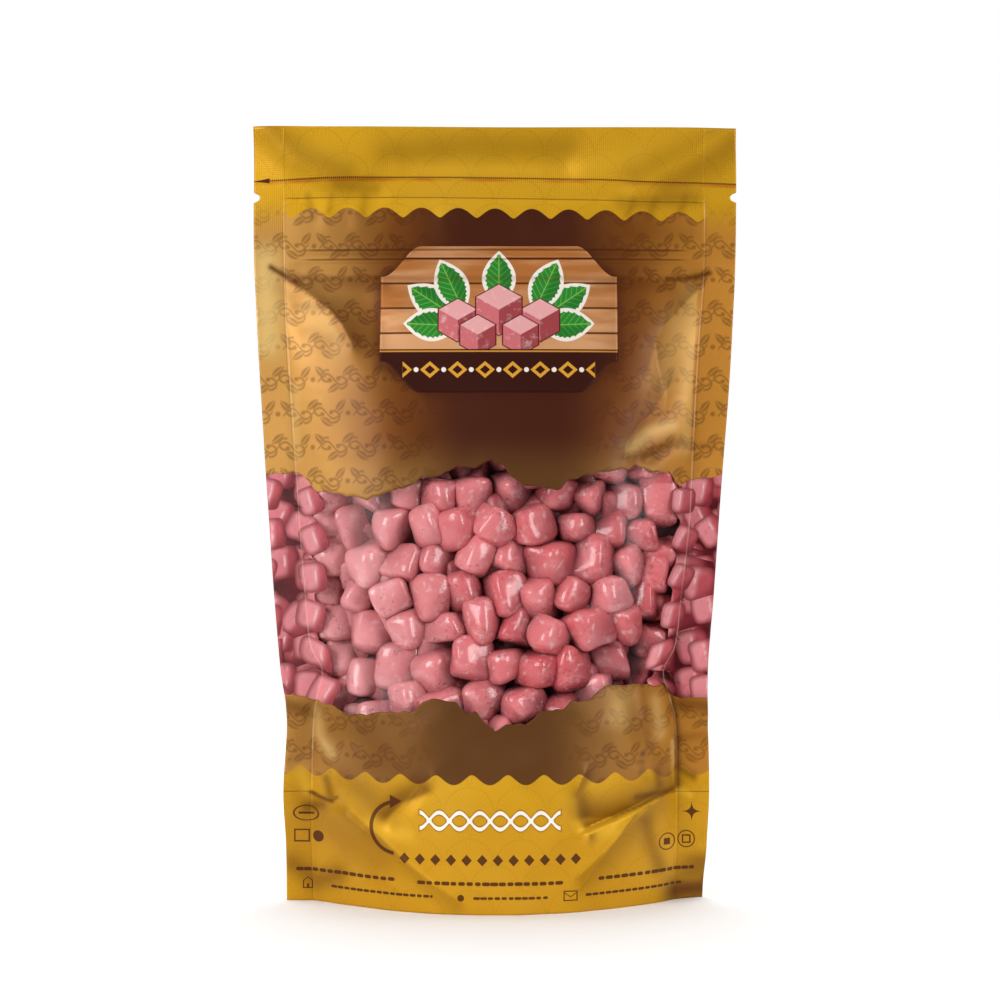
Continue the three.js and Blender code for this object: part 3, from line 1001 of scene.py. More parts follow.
class Finish:
    """A material in the making, with the piece's own coordinates in millimetres."""

    def __init__(self, name):
        self.material = bpy.data.materials.new(name)
        self.material.use_nodes = True
        self.tree = self.material.node_tree
        self.shader = self.tree.nodes["Principled BSDF"]
        self.place = self.tree.nodes.new("ShaderNodeTexCoord").outputs["Object"]
        apart = self.tree.nodes.new("ShaderNodeSeparateXYZ")
        self.tree.links.new(self.place, apart.inputs[0])
        self.x, self.z = [Varying(apart.outputs[axis]) * 1000.0 for axis in "XZ"]
        self.normal = None

    def set(self, **numbers):
        for name, number in numbers.items():
            self.shader.inputs[name.replace("_", " ")].default_value = number

    def attribute(self, name):
        node = self.tree.nodes.new("ShaderNodeAttribute")
        node.attribute_name = name
        return Varying(node.outputs["Fac"])

    def stretched(self, stretch, shift=(0, 0, 0)):
        node = self.tree.nodes.new("ShaderNodeMapping")
        node.inputs["Scale"].default_value = stretch
        node.inputs["Location"].default_value = shift
        self.tree.links.new(self.place, node.inputs[0])
        return node.outputs[0]

    def noise(self, size, detail=2.0, stretch=(1, 1, 1), shift=(0, 0, 0)):
        """Cloudy noise whose blots are about size millimetres across."""
        node = self.tree.nodes.new("ShaderNodeTexNoise")
        node.inputs["Scale"].default_value = 1000.0 / size
        node.inputs["Detail"].default_value = detail
        self.tree.links.new(self.stretched(stretch, shift), node.inputs["Vector"])
        return Varying(node.outputs["Fac"])

    def colour(self, colour):
        self.tree.links.new(colour, self.shader.inputs["Base Color"])

    def vary(self, name, number):
        self.tree.links.new(number.socket, self.shader.inputs[name])

    def bump(self, height, strength, distance):
        """Adds fine relief: height from 0 to 1 stands for a distance in millimetres."""
        node = self.tree.nodes.new("ShaderNodeBump")
        node.inputs["Strength"].default_value = strength
        node.inputs["Distance"].default_value = distance * MM
        self.tree.links.new(height.socket, node.inputs["Height"])
        if self.normal is not None:
            self.tree.links.new(self.normal, node.inputs["Normal"])
        self.normal = node.outputs[0]
        self.tree.links.new(self.normal, self.shader.inputs["Normal"])


# ---- The print ----

YELLOW = "#e0a81c"
BRIGHT_YELLOW = "#f4bc28"
AMBER = "#a46a00"
PALE_YELLOW = "#edbf45"
DARK_YELLOW = "#a87212"
DEEP_BROWN = "#4c2214"
MID_BROWN = "#7d4719"
LOW_BROWN = "#6b4622"
GOLDEN_BROWN = "#8a5514"
PALE_BROWN = "#93662f"
PALE_TAN = "#dfa658"
TAN = "#d08f38"
INK = "#4a1f12"
DEEP_SHADE = "#562600"
HIGHLIGHT_ON_BROWN = "#f4cf83"
HIGHLIGHT_ON_YELLOW = "#f6c238"
CREAM = "#fff6ea"
SEAM_SHINE = "#f3dcc0"
TEAR_LINE_EDGE = "#c7691c"
KNURL_PITCH = 0.66
SCALLOP_HEIGHT = 3.2
TOP_SCALLOP_FEET = 225.6
FOOT_SCALLOP_FEET = 44.8
TEAR_LINE = 239.3
GUSSET_LINE = 36.1
FOOT_MIDDLE = -1.6
BRAID_HEIGHT = 30.2
LOZENGE_HEIGHT = 17.6
FAN_RADIUS = 8.25
MOTIF_STEP = 11.1
MOTIF_LENGTH = 24.0
LEAVES = ((-4.8, -2.8, 0.6), (0.0, 2.9, 0.7), (4.8, -2.8, -0.6), (9.4, 2.4, 0.9), (-9.4, 2.5, -0.8))


def scallops(across_at, period, centre, blunt):
    """0 to 1: the height of a row of round arches with narrow feet, 1 at centre."""
    swing = ((across_at - centre) * (math.pi / period)).cos()
    least, most = math.sqrt(blunt), math.sqrt(1 + blunt)
    return ((swing * swing + blunt).math("SQRT") - least) * (1 / (most - least))


def fan_lines(f):
    """Faint overlapping fans: 1 on a line. Each fan is a ring of rays under an arc."""
    row = (f.z / FAN_RADIUS).floor()
    above = f.z - row * FAN_RADIUS
    odd = (row * 0.5).math("FRACT") * 2.0
    beside = (f.x + odd * FAN_RADIUS).repeat(2 * FAN_RADIUS)
    near = beside.far(above)
    in_front = crisp(near - FAN_RADIUS, 0.02)
    other_beside = (f.x + odd * FAN_RADIUS + FAN_RADIUS).repeat(2 * FAN_RADIUS)
    other_above = above - FAN_RADIUS
    other_near = other_beside.far(other_above)
    away_from = near * in_front + other_near * (1.0 - in_front)
    across_ray = beside * in_front + other_beside * (1.0 - in_front)
    up_ray = above * in_front + other_above * (1.0 - in_front)
    angle = across_ray.math("ARCTAN2", up_ray)
    rays = (angle * 30.0).sin().ramp(0.55, 0.95) * away_from.ramp(2.0, 6.5)
    arcs = crisp(abs(away_from - FAN_RADIUS + 0.4) - 0.16, 0.2)
    return (rays * 0.55).most(arcs)


def ornament_lines(f):
    """Faint rows of scrolls, leaves and dots: 1 on a stroke."""
    row = (f.z / MOTIF_STEP).floor()
    up = f.z.repeat(MOTIF_STEP)
    slide = (row * 0.5).math("FRACT") * MOTIF_LENGTH
    along = (f.x + slide).repeat(MOTIF_LENGTH)
    vine = abs(up - (along * (2 * math.pi / 9.6)).sin() * 1.8) - 0.36
    shape = vine.most(abs(along) - 10.2)
    for middle_at, lift in ((-7.2, 1.2), (-2.4, -1.2), (2.4, 1.2), (7.2, -1.2)):
        way = math.copysign(1, lift)
        curl = abs((along - middle_at).far(up - lift) - 1.9) - 0.34
        curl = curl.most((along - middle_at) * (0.9 * way) - 0.6)
        bud = (along - middle_at - 0.9 * way).far(up - lift + 1.5 * way) - 0.72
        shape = shape.least(curl).least(bud)
    for middle_at, lift, lean in LEAVES:
        dx, dz = along - middle_at, up - lift
        ahead = dx * math.cos(lean) + dz * math.sin(lean)
        beside = dz * math.cos(lean) - dx * math.sin(lean)
        blade = abs(beside) + ahead * ahead * 0.16 - 1.15
        shape = shape.least(blade.most(0.14 - abs(beside)))
    dot = (abs(along) - MOTIF_LENGTH / 2).far(up) - 0.8
    return crisp(shape.least(dot), 0.36)


# Distances to the outlines of plain shapes, less than 0 inside

def ring(f, x, z, radius, stroke):
    return abs((f.x - x).far(f.z - z) - radius) - stroke / 2


def disc(f, x, z, radius):
    return (f.x - x).far(f.z - z) - radius


def slab(f, x, z, half_width, half_height):
    return (abs(f.x - x) - half_width).most(abs(f.z - z) - half_height)


def dashes(f, start, end, z, step, half_height):
    """A straight row of short bars of uneven length, from start to end."""
    cell = ((f.x - start) / step).floor()
    luck = ((cell * 12.99 + z).sin() * 437.6).math("FRACT")
    along = abs((f.x - start).repeat(step)) - step * 0.12 - luck * (step * 0.2)
    bar = along.most(0.0).far(f.z - z) - half_height
    return bar.most(abs(f.x - (start + end) / 2) - (end - start) / 2)


def house(f, x, z):
    """The outline of a small house."""
    roof = abs(f.x - x) * 0.75 + (f.z - z) - 1.9
    walls = abs(roof.most(abs(f.x - x) - 1.5).most(z - 1.6 - f.z)) - 0.2
    return walls.least(slab(f, x, z - 0.9, 0.4, 0.7))


def envelope(f, x, z):
    """The outline of a small envelope."""
    flap = (abs(abs(f.x - x) * 0.7 - (f.z - z) - 0.35) - 0.18).most(slab(f, x, z, 2.1, 1.5))
    return (abs(slab(f, x, z, 2.1, 1.5)) - 0.2).least(flap)


def brown_ground(f, middle_at, reach_left, reach_right):
    """The brown field: dark in the middle, golden brown to the sides. Paler low down, a painted reflection,
    and paler tan on the left than on the right, painted light.
    """
    off = f.x + f.noise(46, 1.0) * 12.0 - 6.0 - middle_at
    sideways = (off / -reach_left).most(off / reach_right)
    low = f.z.ramp(156.0, 138.0)
    return covered(
        DEEP_BROWN,
        # Paler low down: painted reflection
        (LOW_BROWN, low * 0.75),
        (cover(MID_BROWN, PALE_BROWN, low), sideways.ramp(0.2, 0.66)),
        # Paler tan on the left than on the right: painted light
        (cover(PALE_TAN, TAN, f.x.ramp(-64.0, 64.0)), sideways.ramp(0.52, 1.08)),
        (INK, ornament_lines(f) * sideways.ramp(0.2, 0.6, 0.0, 0.46)),
    )


def yellow_ground(f):
    """The yellow field: darker to the right, towards the bottom, low on the left and in cloudy patches, all
    painted shade, and brighter at the header.
    """
    sideways = f.x.ramp(-80.0, 70.0, 0.06, 0.27)
    low_left_shade = f.z.ramp(60.0, 30.0) * f.z.ramp(6.0, 24.0) * f.x.ramp(-16.0, -50.0, 0.0, 0.42)
    return covered(
        YELLOW,
        (PALE_YELLOW, f.noise(52, 2.0, shift=(3, 0, 1)).ramp(0.45, 0.8, 0.0, 0.4)),
        # Painted shade: darker to the right, towards the bottom and in cloudy patches; amber low on the
        # left
        (DARK_YELLOW, sideways.most(f.z.ramp(60.0, 20.0, 0.0, 0.36))),
        (DARK_YELLOW, f.noise(30, 2.0, shift=(0, 0, 7)).ramp(0.52, 0.82, 0.0, 0.35)),
        (AMBER, low_left_shade),
        (BRIGHT_YELLOW, f.z.ramp(222.0, 236.0, 0.0, 0.36)),
        (DARK_YELLOW, fan_lines(f) * 0.24),
    )


def top_scallops(f):
    """Height of the scalloped edge between the yellow header and the brown."""
    return scallops(f.x, 12.2, 0.0, 0.05) * SCALLOP_HEIGHT + TOP_SCALLOP_FEET


def foot_scallops(f):
    """Height of the scalloped edge between the brown and the yellow foot."""
    return scallops(f.x, 11.5, 9.85, 0.2) * -SCALLOP_HEIGHT + FOOT_SCALLOP_FEET


def above_edge(height):
    """1 above an edge of the print and 0 below, from the height over it."""
    return height.ramp(-0.15, 0.15)


def knurl(f):
    """The fine grid that the hot jaws press into sealed film."""
    turns = 2 * math.pi / KNURL_PITCH
    return ((f.x * turns).sin() * 0.3 + (f.z * turns).sin() * 0.2) + 0.5


def sealed_film(f):
    """1 where the two panels are sealed: header, sides and the corners over the gusset."""
    past = f.attribute("past_seam")
    header = f.z.ramp(231.4, 232.6)
    corner = (abs(f.x) - 19.5 - f.z * 0.87).ramp(-0.8, 0.8) * f.z.ramp(36.5, 35.8)
    return past.ramp(-0.6, 0.4).most(header).most(corner * 0.8)


def pressed_lines(f):
    """1 on the thin lines pressed into the film: under the zip, under the header, over the gusset."""
    share = f.x * (1 / HEADER_HALF_WIDTH)
    zip_level = f.z + share * share * 0.5
    ends = abs(f.x).ramp(ZIP_REACH + 4.0, ZIP_REACH - 3.0)
    lines = crisp(abs(zip_level - ZIP_RIDGES[0] - 0.75) - 0.3, 0.3)
    lines = lines.most(crisp(abs(zip_level - ZIP_RIDGES[1] - 0.75) - 0.2, 0.3)) * ends
    jaw = f.z - JAW_LINE + share * DROOP_SLOPE + share * share * DROOP_BEND
    lines = lines.most(crisp(abs(jaw) - 0.08, 0.25) * abs(f.x).ramp(72.0, 66.0))
    gusset_line = crisp(abs(f.z - GUSSET_LINE) - 0.06, 0.2) * f.attribute("past_seam").ramp(-3.0, -1.0)
    return lines.most(gusset_line)


def film_surface(f, ground, weave_tint=0.2, marks=None):
    """What all printed film shares: a satin laminate, knurled where it is sealed, with painted shade and
    painted highlights of the creases, painted shade in the pressed lines and a painted highlight on the
    seam line. Marks stay dark.
    """
    past = f.attribute("past_seam")
    weave = knurl(f) * sealed_film(f)
    seam_line = crisp(abs(past) - 0.1, 0.22) * f.z.ramp(234.0, 228.0) * f.z.ramp(30.0, 40.0)
    golden = f.z.ramp(48.0, 40.0).most(f.z.ramp(224.0, 232.0))
    pale = f.attribute("crease_highlight")
    if marks is not None:
        pale = pale * (1.0 - marks * 0.8)
    f.colour(covered(
        ground,
        (INK, weave * f.z.ramp(222.0, 234.0, 0.5 * weave_tint, weave_tint)),
        # Painted shade in the pressed lines
        (INK, pressed_lines(f) * 0.66),
        # A painted highlight along the seam line, and a faint painted shade just past it in the seal
        (SEAM_SHINE, seam_line * f.noise(22, 2.0).ramp(0.3, 0.6, 0.05, 0.5)),
        (INK, crisp(abs(past - 0.55) - 0.1, 0.25) * f.z.ramp(230.0, 222.0) * 0.3),
        # Painted highlights along the creases, golden on the yellow
        (cover(HIGHLIGHT_ON_BROWN, HIGHLIGHT_ON_YELLOW, golden), pale),
        # Painted shade where the folds turn the film away, at the curled corner and in the creases
        (DEEP_SHADE, f.attribute("painted_shade") * 0.94),
    ))
    f.bump(f.noise(9, 3.0), 0.25, 0.35)
    f.bump(f.noise(1.2, 2.0), 0.08, 0.06)
    f.bump(weave, 0.4, 0.1)
    f.bump(1.0 - pressed_lines(f), 0.8, 0.3)
    f.bump(crisp(abs(past) - 0.15, 0.3), 0.5, 0.2)
    f.vary("Roughness", f.noise(24, 3.0).ramp(0.3, 0.75, 0.48, 0.56))
    f.set(Metallic=0.3, Specular_IOR_Level=0.08, Coat_Weight=0.12, Coat_Roughness=0.28)


def top_print():
    """Header and shoulders: yellow over scallops over brown, and the dark halo of the board."""
    f = Finish("printed_film_top")
    share = f.x / HEADER_HALF_WIDTH
    level = f.z - DROOP_LIFT + share * DROOP_SLOPE + share * share * DROOP_BEND
    seal_fade = f.attribute("past_seam").ramp(-2.0, 2.0)
    scalloped = above_edge(level - top_scallops(f))
    is_yellow = scalloped * (1.0 - seal_fade) + level.ramp(218.0, 234.0) * seal_fade
    shaded = f.z.ramp(204.0, 220.0, 0.0, 0.2) * abs(f.x).ramp(24.0, 50.0)
    brown = cover(brown_ground(f, 6.5, 70.0, 66.0), GOLDEN_BROWN, shaded)
    tilt = f.z - TEAR_LINE + share * 0.55 + share * share * 1.85
    stitches = (f.x * (2 * math.pi / KNURL_PITCH)).sin() * 0.14
    head = (abs(tilt) - (f.x + 79.7) * 0.17).most(abs(f.x + 77.2) - 2.5)
    dx, dz = abs(f.x - EMBLEM_MIDDLE[0]), abs(f.z - EMBLEM_MIDDLE[1] + 1.0)
    board = (dx - EMBLEM_HALF_WIDTH).most(dz - EMBLEM_HALF_HEIGHT).most(dx * 0.6 + dz - 38.0)
    film_surface(f, covered(
        brown,
        (yellow_ground(f), is_yellow),
        (TEAR_LINE_EDGE, crisp(abs(tilt + 0.7) - 0.5, 0.6) * f.noise(18, 2.0).ramp(0.35, 0.6, 0.1, 0.8)),
        (INK, crisp(abs(tilt) - 0.24 - stitches, 0.16) * 0.85),
        (INK, crisp(head)),
        (INK, board.ramp(4.0, -1.0, 0.0, 0.65)),
    ))
    return f.material


def foot_print():
    """Foot: brown over scallops over yellow, with plain ornaments."""
    f = Finish("printed_film_foot")
    marks = crisp(foot_ink(f), 0.1)
    white = foot_white(f)
    film_surface(f, covered(
        brown_ground(f, 2.0, 76.0, 60.0),
        # Darker golden brown towards the sides: painted shade
        (GOLDEN_BROWN, abs(f.x).ramp(38.0, 54.0, 0.0, 0.34)),
        (yellow_ground(f), above_edge(foot_scallops(f) - f.z)),
        (INK, marks * 0.92),
        (DARK_YELLOW, crisp(white - 0.45, 0.2)),
        (CREAM, crisp(white)),
    ), marks=marks)
    return f.material


def foot_white(f):
    """A white braid of two waves with dots in its eyes."""
    along, up = f.x - FOOT_MIDDLE, f.z - BRAID_HEIGHT
    swing = (along * (2 * math.pi / 13.0)).sin() * 2.6
    braid = (abs(up - swing) - 0.62).least(abs(up + swing) - 0.62).most(abs(along) - 22.5)
    eyes = ((along - 3.25).repeat(6.5).far(up) - 0.85).most(abs(along) - 21.0)
    return braid.least(eyes)


def foot_ink(f):
    """The dark marks of the foot: arrow, lozenges, dashes, rings, a star and small plain signs."""
    arc = abs((f.x + 31.6).far(f.z - 27.3) - 8.4) - 0.62
    head_on = f.x + 33.8
    head = (head_on * 0.475 + (f.z - 38.0) * 0.88).most(head_on * 0.547 - (f.z - 33.4) * 0.837)
    lozenges = abs((f.x - FOOT_MIDDLE).repeat(5.0)) + abs(f.z - LOZENGE_HEIGHT) * 0.9 - 1.7
    shapes = [
        arc.most(f.x + 32.6),
        head.most(-head_on),
        lozenges.most(abs(f.x - FOOT_MIDDLE) - 30.0),
        abs(f.x - 65.0) * abs(f.z - 29.5) * 1.6 + (f.x - 65.0).far(f.z - 29.5) * 0.5 - 1.7,
        abs((f.x + 62.5).far((f.z - 29.0) * 1.7) - 4.2) - 0.3,
        abs(slab(f, 63.2, 20.4, 1.2, 1.2)) - 0.25,
        abs(slab(f, -64.0, 21.5, 2.4, 1.9)) - 0.25,
        house(f, -62.0, 5.8),
        envelope(f, 24.2, 5.6),
    ]
    for start, end, z in ((-66, -32, 10.4), (-25, 22, 10.0), (33, 66, 10.6)):
        shapes.append(dashes(f, start, end, z, 2.6, 0.62))
    for start, end, z in ((-54, -20, 5.6), (-7, 17, 5.4), (29, 62, 5.6)):
        shapes.append(dashes(f, start, end, z, 2.2, 0.46))
    for x, z in ((56.6, 20.0), (63.2, 20.4)):
        shapes.append(ring(f, x, z, 2.7, 0.4))
    for x, z, radius in ((-11.0, 5.4, 1.1), (-58.4, 21.6, 1.9)):
        shapes.append(disc(f, x, z, radius))
    for x, z, half_width, half_height in ((56.6, 20.0, 1.1, 1.1), (-62.5, 29.0, 2.6, 0.35)):
        shapes.append(slab(f, x, z, half_width, half_height))
    nearest = shapes[0]
    for shape in shapes[1:]:
        nearest = nearest.least(shape)
    return nearest


PICTURED_HALF = 0.43
LIT_PINK = "#f0a5a8"
SHINE = "#fbd9da"
NEAR_TONES = ("#f09da2", "#cb646b", "#8f363f")
PICTURED_ROWS = (
    (12.5, (0.0021, 0.0, 0.0063), ("#ad4b52", "#87303a", "#551319")),
    (13.5, (0.0067, 0.0, 0.0004), ("#de8088", "#b24b53", "#742129")),
    (13.0, (0.0, 0.0, 0.0), ("#ec9298", "#c2575e", "#7a232b")),
)


def sweets_picture(f, ground, size, shift, tones):
    """A flat picture of soft cubes that overlap what is under them: lit on the left, dark on the right."""
    cells = f.tree.nodes.new("ShaderNodeTexVoronoi")
    cells.inputs["Scale"].default_value = 1000.0 / size
    cells.inputs["Randomness"].default_value = 0.5
    place = f.stretched((1.0, 0.0, 1.0), shift)
    f.tree.links.new(place, cells.inputs["Vector"])
    spot, lot, here = [f.tree.nodes.new("ShaderNodeSeparateXYZ") for _ in range(3)]
    f.tree.links.new(cells.outputs["Position"], spot.inputs[0])
    f.tree.links.new(cells.outputs["Color"], lot.inputs[0])
    f.tree.links.new(place, here.inputs[0])
    beside = (Varying(here.outputs[0]) - Varying(spot.outputs[0])) * 1000.0
    above = (Varying(here.outputs[2]) - Varying(spot.outputs[2])) * 1000.0
    luck, other, third = [Varying(out) for out in lot.outputs]
    turn = (luck - 0.5) * 1.2
    wobble = f.noise(7.0, 1.0, shift=shift) * 1.6 - 0.8
    a = beside * turn.cos() + above * turn.sin() + wobble
    b = above * turn.cos() - beside * turn.sin() + wobble * 0.6
    a, b = a * (other * 0.35 + 0.95), b * (third * 0.25 + 0.9)
    return pictured_sweet(f, ground, a, b, third, size, shift, tones)


def pictured_sweet(f, ground, a, b, luck, size, shift, tones):
    """A flat picture of one soft cube round the place where a and b are 0."""
    outline = (a * a * a * a + b * b * b * b).math("SQRT").math("SQRT") - size * PICTURED_HALF
    light, dark, deep = tones
    ridge = (luck - 0.4) * (size * 0.3) + b * 0.1
    shine = crisp(abs(a - ridge + 0.4) - 0.25, 0.6) * abs(b - size * 0.04).ramp(size * 0.32, size * 0.1)
    pink = covered(
        light,
        (dark, (a - ridge).ramp(-0.7, 1.6)),
        (LIT_PINK, (b - a * 0.6).ramp(size * 0.05, size * 0.5, 0.0, 0.5)),
        (deep, outline.ramp(-size * 0.17, size * 0.02, 0.0, 0.9)),
        (deep, (a * 0.7 - b * 0.7).ramp(size * 0.08, size * 0.4, 0.0, 0.7)),
        (SHINE, shine * f.noise(3.0, 2.0, shift=shift).ramp(0.35, 0.6)),
        (dark, f.noise(1.3, 3.0, shift=shift).ramp(0.55, 0.75, 0.0, 0.4)),
    )
    return cover(ground, pink, crisp(outline, 0.3))


def strip_print():
    """The picture of sweets that the print carries on over the side seals."""
    f = Finish("printed_film_strip")
    ground = cover("#3d0f14", "#671f26", f.noise(7, 2.0).ramp(0.35, 0.7))
    for size, shift, tones in PICTURED_ROWS:
        ground = sweets_picture(f, ground, size, shift, tones)
    side = f.x.math("SIGN")
    row = (f.z / COLUMN_PERIOD).floor()
    luck = (row * 12.99 + side).sin() * 0.5 + 0.5
    other = (row * 7.23 + side * 2.0 + 1.0).sin() * 0.5 + 0.5
    turn = (other - 0.5) * COLUMN_TURN
    beside = (f.attribute("past_seam") + COLUMN_INWARD + (other - 0.5) * COLUMN_STRAY) * side
    up = f.z.repeat(COLUMN_PERIOD)
    grown = 1.0 / (luck * (1 - COLUMN_SMALLEST) + COLUMN_SMALLEST)
    a = (beside * turn.cos() + up * turn.sin()) * grown
    b = (up * turn.cos() - beside * turn.sin()) * grown
    size = COLUMN_HALF / PICTURED_HALF
    ground = covered(
        pictured_sweet(f, ground, a, b, luck, size, (0.003, 0.0, 0.001), NEAR_TONES),
        # Paler towards the left edge, a painted reflection, and darker towards the right edge, painted
        # shade
        ("#f6b4b8", f.x.ramp(-50.0, -66.0, 0.0, 0.06)),
        ("#7a1e26", f.x.ramp(50.0, 66.0, 0.0, 0.12)),
    )
    film_surface(f, ground, 0.08)
    return f.material


def plain_print():
    """Back: the same brown and yellow fields without the ornaments of the foot."""
    f = Finish("printed_film_back")
    is_yellow = above_edge(f.z - top_scallops(f)).most(above_edge(foot_scallops(f) - f.z))
    film_surface(f, cover(brown_ground(f, 2.0, 64.0, 64.0), yellow_ground(f), is_yellow))
    return f.material


def gusset_print():
    """Gusset: plain yellow laminate."""
    f = Finish("printed_film_gusset")
    f.colour(cover(YELLOW, DARK_YELLOW, f.noise(14, 2.0).ramp(0.3, 0.8)))
    f.bump(f.noise(6, 3.0), 0.4, 0.5)
    f.set(Roughness=0.4)
    return f.material


# ---- The emblem: a board with cubes and leaves ----

EMBLEM_MIDDLE = (1.2, 192.0)
EMBLEM_HALF_WIDTH = 39.0
EMBLEM_HALF_HEIGHT = 24.5
EMBLEM_LIFT = 0.12
PLANK_HEIGHT = 8.4
DIAMOND_STEP = 9.0
BAND_BROWN = "#3c1811"
EMBLEM_LEAVES = (
    (2.55, -21.5, 5.5, 19), (2.0, -15.5, 11, 18), (3.1, -22, -2.0, 17),
    (0.6, 21.5, 5.5, 19), (1.14, 15.5, 11, 18), (0.04, 22, -2.0, 17), (1.57, 0.0, 13.5, 17),
)
EMBLEM_CUBES = (
    (-13.5, -0.5, 7.2), (13.5, -0.5, 7.2), (0.0, 3.0, 8.6), (-6.9, -5.4, 6.6), (7.1, -5.4, 6.6),
)


def emblem_place(a, b):
    """A label with drawn-in shoulders."""
    side = 2 * a - 1
    height = EMBLEM_HALF_HEIGHT * (1 - 0.42 * smooth(0.66, 0.98, np.abs(side)))
    x = EMBLEM_MIDDLE[0] + EMBLEM_HALF_WIDTH * side
    z = EMBLEM_MIDDLE[1] + height * (2 * b - 1)
    return on_panel(x, z, "front", EMBLEM_LIFT)


def leaf(f, x, z, turn, length, width):
    """Distance to a toothed leaf's outline, to its plain outline, and the place along and across."""
    along = (f.x - x) * math.cos(turn) + (f.z - z) * math.sin(turn)
    beside = (f.z - z) * math.cos(turn) - (f.x - x) * math.sin(turn)
    half = length / 2
    lens = 1.0 - (along / half) * (along / half)
    teeth = abs((along * 1.9 + abs(beside)).sin()) * 0.5
    plain = (abs(beside) - lens * width) * 0.8
    return plain + teeth * 0.8, plain, along, beside


def cube_picture(f, colour, x, z, size):
    """A cube seen on its corner, with three faces in three tones."""
    dx, dz = f.x - x, f.z - z
    outline = (abs(dx) * 0.577 + abs(dz) - size).most(abs(dx) - size * 0.866)
    face = covered(
        "#d9757a",
        ("#a8484d", dx.ramp(-0.1, 0.1)),
        ("#f3b0b0", crisp(abs(dx) * 0.577 - dz)),
        (CREAM, f.noise(2.2, 2.0).ramp(0.55, 0.8, 0.0, 0.35)),
    )
    return covered(colour, ("#5a1c1c", crisp(outline - 0.4)), (face, crisp(outline)))


def emblem_print():
    """Planks with leaves and cubes over a dark band with a row of drawn diamonds."""
    f = Finish("printed_film_emblem")
    planks = (f.z - EMBLEM_MIDDLE[1] + 30.0) / PLANK_HEIGHT
    grain = f.noise(5.0, 4.0, stretch=(0.16, 1.0, 1.0))
    wood = covered(
        "#b9733a",
        ("#dea473", (grain + planks.floor().sin() * 0.12).ramp(0.3, 0.72)),
        ("#5b2d14", crisp(abs(planks.repeat(1.0)) * -1.0 + 0.46, 0.025)),
    )
    for turn, x, z, length in EMBLEM_LEAVES:
        shape, plain, along, beside = leaf(f, EMBLEM_MIDDLE[0] + x, EMBLEM_MIDDLE[1] + z, turn, length, 4.6)
        vein = crisp(abs(beside) - 0.16).most((along * 3.0 - abs(beside) * 2.6).sin().ramp(0.7, 1.0) * 0.5)
        green = covered(
            "#2f8f35", ("#8cc653", vein), ("#1d6a2a", beside.ramp(0.2, -1.8) * 0.5),
        )
        wood = covered(wood, (CREAM, crisp(plain - 0.8)), (green, crisp(shape)))
    for x, z, size in EMBLEM_CUBES:
        wood = cube_picture(f, wood, EMBLEM_MIDDLE[0] + x, EMBLEM_MIDDLE[1] + z, size)
    dx, dz = f.x - EMBLEM_MIDDLE[0], f.z - EMBLEM_MIDDLE[1]
    diamond = abs(dx.repeat(DIAMOND_STEP)) + abs(dz + 17.0) * 1.15 - 3.2
    dots = (dx - DIAMOND_STEP / 2).repeat(DIAMOND_STEP).far(dz + 17.0) - 0.8
    in_row = crisp(abs(dx) - 31.4)
    film_surface(f, covered(
        wood,
        (BAND_BROWN, crisp(dz + 10.2)),
        ("#d7953f", crisp(abs(dz + 10.9) - 0.25)),
        ("#e8a73a", crisp(diamond) * in_row),
        (BAND_BROWN, crisp(diamond + 1.5) * in_row),
        (CREAM, crisp(dots) * crisp(abs(dx) - 28.0)),
    ))
    f.bump(grain, 0.1, 0.1)
    return f.material


# ---- Clear film and sweets ----

CLEAR_INDEX = 1.45
CLEAR_ROUGHNESS = 0.14
CLEAR_SHINE = 0.26


def clear_finish():
    """Clear glossy film: what isn't reflected goes straight through."""
    f = Finish("clear_film")
    tree = f.tree
    f.bump(f.noise(16, 2.0), 0.25, 0.45)
    f.bump(f.noise(4, 2.0, stretch=(1, 1, 0.5)), 0.15, 0.15)
    clear = tree.nodes.new("ShaderNodeBsdfTransparent")
    gloss = tree.nodes.new("ShaderNodeBsdfGlossy")
    gloss.inputs["Roughness"].default_value = CLEAR_ROUGHNESS
    tree.links.new(f.normal, gloss.inputs["Normal"])
    rim = tree.nodes.new("ShaderNodeFresnel")
    rim.inputs["IOR"].default_value = CLEAR_INDEX
    tree.links.new(f.normal, rim.inputs["Normal"])
    mix = tree.nodes.new("ShaderNodeMixShader")
    outside = 1.0 - Varying(tree.nodes.new("ShaderNodeNewGeometry").outputs["Backfacing"])
    tree.links.new((Varying(rim.outputs[0]) * outside * CLEAR_SHINE).socket, mix.inputs[0])
    tree.links.new(clear.outputs[0], mix.inputs[1])
    tree.links.new(gloss.outputs[0], mix.inputs[2])
    output = tree.nodes["Material Output"]
    tree.links.new(mix.outputs[0], output.inputs["Surface"])
    tree.nodes.remove(f.shader)
    return f.material


